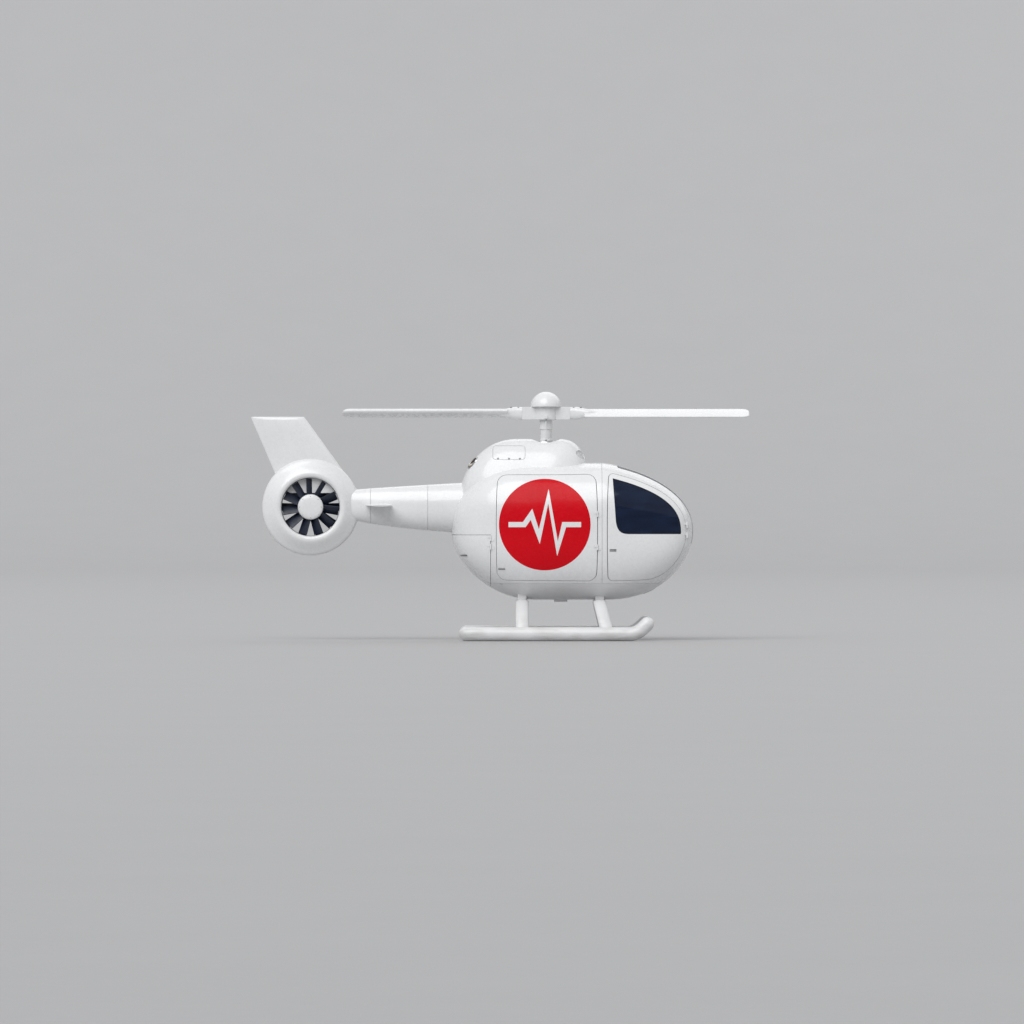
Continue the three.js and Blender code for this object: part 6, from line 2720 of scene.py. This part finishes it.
@dataclass
class Fittings(Assembly):
    """Hinges, handles, seals, lamp and cargo plate on the cabin."""

    knuckle: Triple = (0.013, 0.048, 0.002)
    leaf: float = 0.062
    leaf_rise: float = 0.024
    leaf_thick: float = 0.007
    screw: Curve = ((0.005, 0.0), (0.005, 0.0075), (0.003, 0.0085))
    hinges: Sequence[tuple[Body, str, float, float, tuple[float, float]]] = (
        (Body.PILOT_DOOR, "cockpit_frame", 3.101, 0.669, (1.745, 1.915)),
        (Body.CABIN_DOOR, "cabin_frame", 1.612, 0.968, (1.55, 2.1)),
        (Body.REAR_DOOR, "cabin_frame", -0.155, 0.842, (1.56, 1.7)),
    )
    handles: Sequence[tuple[Body, float, float]] = (
        (Body.PILOT_DOOR, 1.87, 1.5),
        (Body.CABIN_DOOR, 0.03, 1.2),
        (Body.REAR_DOOR, -0.6, 1.42),
    )
    cup: Curve = ((-0.055, 0.001), (-0.02, 0.004), (0.02, 0.004), (0.055, 0.001))
    pull: Curve = (
        (0.1, 0.052), (0.112, 0.078), (0.145, 0.088), (0.25, 0.088), (0.283, 0.078), (0.295, 0.052),
    )  # fmt: skip
    seal: tuple[float, float] = (0.0055, 0.0065)
    lamp: tuple[float, float] = (2.48, 0.095)
    hook_plate: tuple[Triple, Triple] = ((0.9, -0.11, 0.64), (1.12, 0.11, 0.7))
    lens: Curve = ((1.0, -0.004), (1.0, 0.006), (0.93, 0.009), (0.7, 0.0095), (0.35, 0.0098), (0.02, 0.01))

    def _leaf(self, tip: float, reach: float, low: float, high: float, y: float) -> Shape:
        """A hinge leaf that follows the skin and rises to its knuckle.

        Args:
            tip: X of the knuckle.
            reach: How far the leaf runs along X from there.
            low: Its lower edge.
            high: Its upper edge.
            y: Y of the knuckle.

        Returns:
            The leaf with its screws.
        """
        x = np.linspace(*sorted((tip, tip + reach)), 8)
        rings = []
        for z in (low, high):
            skin = POD.skin_y(x, 0 * x + z)
            share = np.clip(np.abs(x - tip) / self.leaf_rise, 0, 1)
            face = np.stack([x, skin + 0.006 + (y - skin - 0.004) * (1 - share), 0 * x + z], axis=1)
            rings.append(np.vstack([face, face[::-1] - [0, self.leaf_thick, 0]]))
        shape = Shape().loft(rings)
        for z in (low + 0.011, high - 0.011):
            at = tip + 0.7 * reach
            shape.spindle(self.screw, (at, POD.y_at(at, z), z), Axis.Y, 10)
        return shape

    def _hinges(self) -> None:
        """Both halves of every hinge."""
        radius, tall, edge = self.knuckle
        for body, fixed, x, y, heights in self.hinges:
            on_frame, on_door = Shape(), Shape()
            for z in heights:
                for shape, low, reach in ((on_frame, z - tall, self.leaf), (on_door, z + 0.0005, -self.leaf)):
                    shape.spindle(drum(radius, low, low + tall, edge), (x, y, 0), Axis.Z, 20)
                    shape.join(self._leaf(x, reach, low, low + tall, y))
            for side in Side:
                name = f"{fixed}_{side.node(f'{body.value}_knuckles')}"
                self.place(on_frame.on(side), name, [WHITE], Slot.WHITE)
                name = f"{side.node(body.value)}_knuckles"
                self.place(on_door.on(side), name, [WHITE], Slot.WHITE, side.body(body))

    def _handles(self) -> None:
        """A flush handle in a shallow cup on every door, and a pull inside it."""
        for body, x, z in self.handles:
            line = np.array([(x + step, POD.y_at(x + step, z) + 0.001, z) for step, _ in self.cup])
            cup = Shape().band(line, (0, 0, 1), 0.036, 0.004)
            grip = Shape().band(line + [(0, lift, 0) for _, lift in self.cup], (0, 0, 1), 0.018, 0.005)
            high = z + 0.1
            bar = [(x + step, POD.y_at(x + step, high) - deep, high) for step, deep in self.pull]
            pull = Shape().sweep(flowing(bar, 4), 0.011, 12)
            for side in Side:
                name, rides = side.node(body.value), side.body(body)
                self.place(cup.on(side), f"{name}_handle_cup", [BLACK], Slot.PLASTIC, rides)
                self.place(grip.on(side), f"{name}_handle", [BARE], Slot.METAL, rides, bevel=0.001)
                self.place(pull.on(side), f"{name}_pull", [BLACK], Slot.PLASTIC, rides, sharp=60)

    def _seals(self) -> None:
        """A round rubber seal just below the skin along the edge of each door window."""
        radius, sunk = self.seal
        line = Cabin().window()
        seal = Shape().sweep(POD.points(line) - POD.normals(line) * sunk, radius, 8, closed=True)
        for side in Side:
            name = f"{side.node('door_window')}_seal"
            self.place(seal.on(side), name, [RUBBER], Slot.PLASTIC, side.body(Body.PILOT_DOOR))

    def _landing_light(self) -> None:
        """The lamp's lens in the belly, and its rim."""
        x, radius = self.lamp
        circles = []
        for share, drop in self.lens:
            px, py = x + radius * share * np.cos(turns(48)), radius * share * np.sin(turns(48))
            z = POD.points(POD.from_plan(np.column_stack([px, np.abs(py)]), above=False))[:, 2]
            circles.append(np.column_stack([px, py, z - drop]))
        lens, nodes = Shape().loft(circles), ["landing_light"]
        self.place(lens, "landing_light_lens", [LAMP], Slot.LAMP, nodes=nodes, sharp=60)
        rim = Shape().sweep(circles[1] + [0, 0, 0.004], 0.005, 8, closed=True)
        self.place(rim, "landing_light_rim", [BARE], Slot.METAL)

    def build(self) -> None:
        """Builds all fittings."""
        self._hinges()
        self._handles()
        self._seals()
        self._landing_light()
        plate = Shape().block(*self.hook_plate, 0, 0.02)
        self.place(plate, "belly_hook_plate", [WHITE_WORN], Slot.WHITE, bevel=0.004)


@dataclass
class Studio:
    """Floor, backdrop, lights and camera."""

    aim: Triple = (0.2, 0.0, 2.133)
    distance: float = 142.0
    lens: float = 300.0
    sensor: float = 36.0
    far: float = 700.0
    air: Triple = (0.98, 0.99, 1.0)
    air_strength: float = 0.66
    sweep: tuple[float, float] = (165.0, 90.0)
    lamps: Sequence[tuple[str, Triple, float, float]] = (
        ("key", (-0.4, -1.0, 0.95), 1.8, 50.0),
        ("fill", (0.5, 1.0, 0.6), 0.6, 70.0),
    )

    def _floor(self) -> bpy.types.Object:
        """The floor, wide enough for every view.

        Returns:
            A disc, rolled up softly all round into a backdrop.
        """
        start, radius = self.sweep
        turn = turns(96)
        circle = np.stack([np.cos(turn), np.sin(turn), 0 * turn], axis=1)
        rings = []
        for angle in np.linspace(0, math.pi / 2, 30):
            rings.append(circle * (start + radius * math.sin(angle)) + [0, 0, radius * (1 - math.cos(angle))])
        bowl = Shape().loft(rings, caps=False).over([range(len(turn))])
        return bowl.make("studio_floor", [Plaster("studio_plaster")], 80)

    def _light(self) -> None:
        """Adds the broad, soft lights."""
        for name, towards, strength, angle in self.lamps:
            lamp = bpy.data.lights.new(name, "SUN")
            lamp.energy, lamp.angle = strength, math.radians(angle)
            holder = bpy.data.objects.new(name, lamp)
            bpy.context.scene.collection.objects.link(holder)
            holder.rotation_euler = (-Vector(towards)).to_track_quat("-Z", "Y").to_euler()

    def build(self) -> None:
        """Sets the stage."""
        self._floor()
        scene = bpy.context.scene
        scene.world = bpy.data.worlds.new("studio_air")
        scene.world.use_nodes = True
        air = scene.world.node_tree.nodes["Background"]
        air.inputs["Color"].default_value = opaque(self.air)
        air.inputs["Strength"].default_value = self.air_strength
        self._light()
        camera = bpy.data.objects.new("camera", bpy.data.cameras.new("camera"))
        scene.collection.objects.link(camera)
        camera.location = (self.aim[0], -self.distance, self.aim[2])
        camera.rotation_euler = (math.pi / 2, 0, 0)
        camera.data.lens, camera.data.sensor_width, camera.data.clip_end = self.lens, self.sensor, self.far
        scene.camera = camera
        scene.view_settings.view_transform = "Standard"


def dress() -> None:
    """Builds every sub-assembly in order and reports its pieces."""
    for assembly in (Cabin(), Deck(), Tail(), Fan(), Skids(), Rotor(), Interior(), Fittings()):
        assembly.build()
        log.info("%s: %s", type(assembly).__name__, ", ".join(assembly.placed))
    Studio().build()


if __name__ == "__main__":
    logging.basicConfig(level=logging.INFO, format="%(name)s: %(message)s")
    dress()
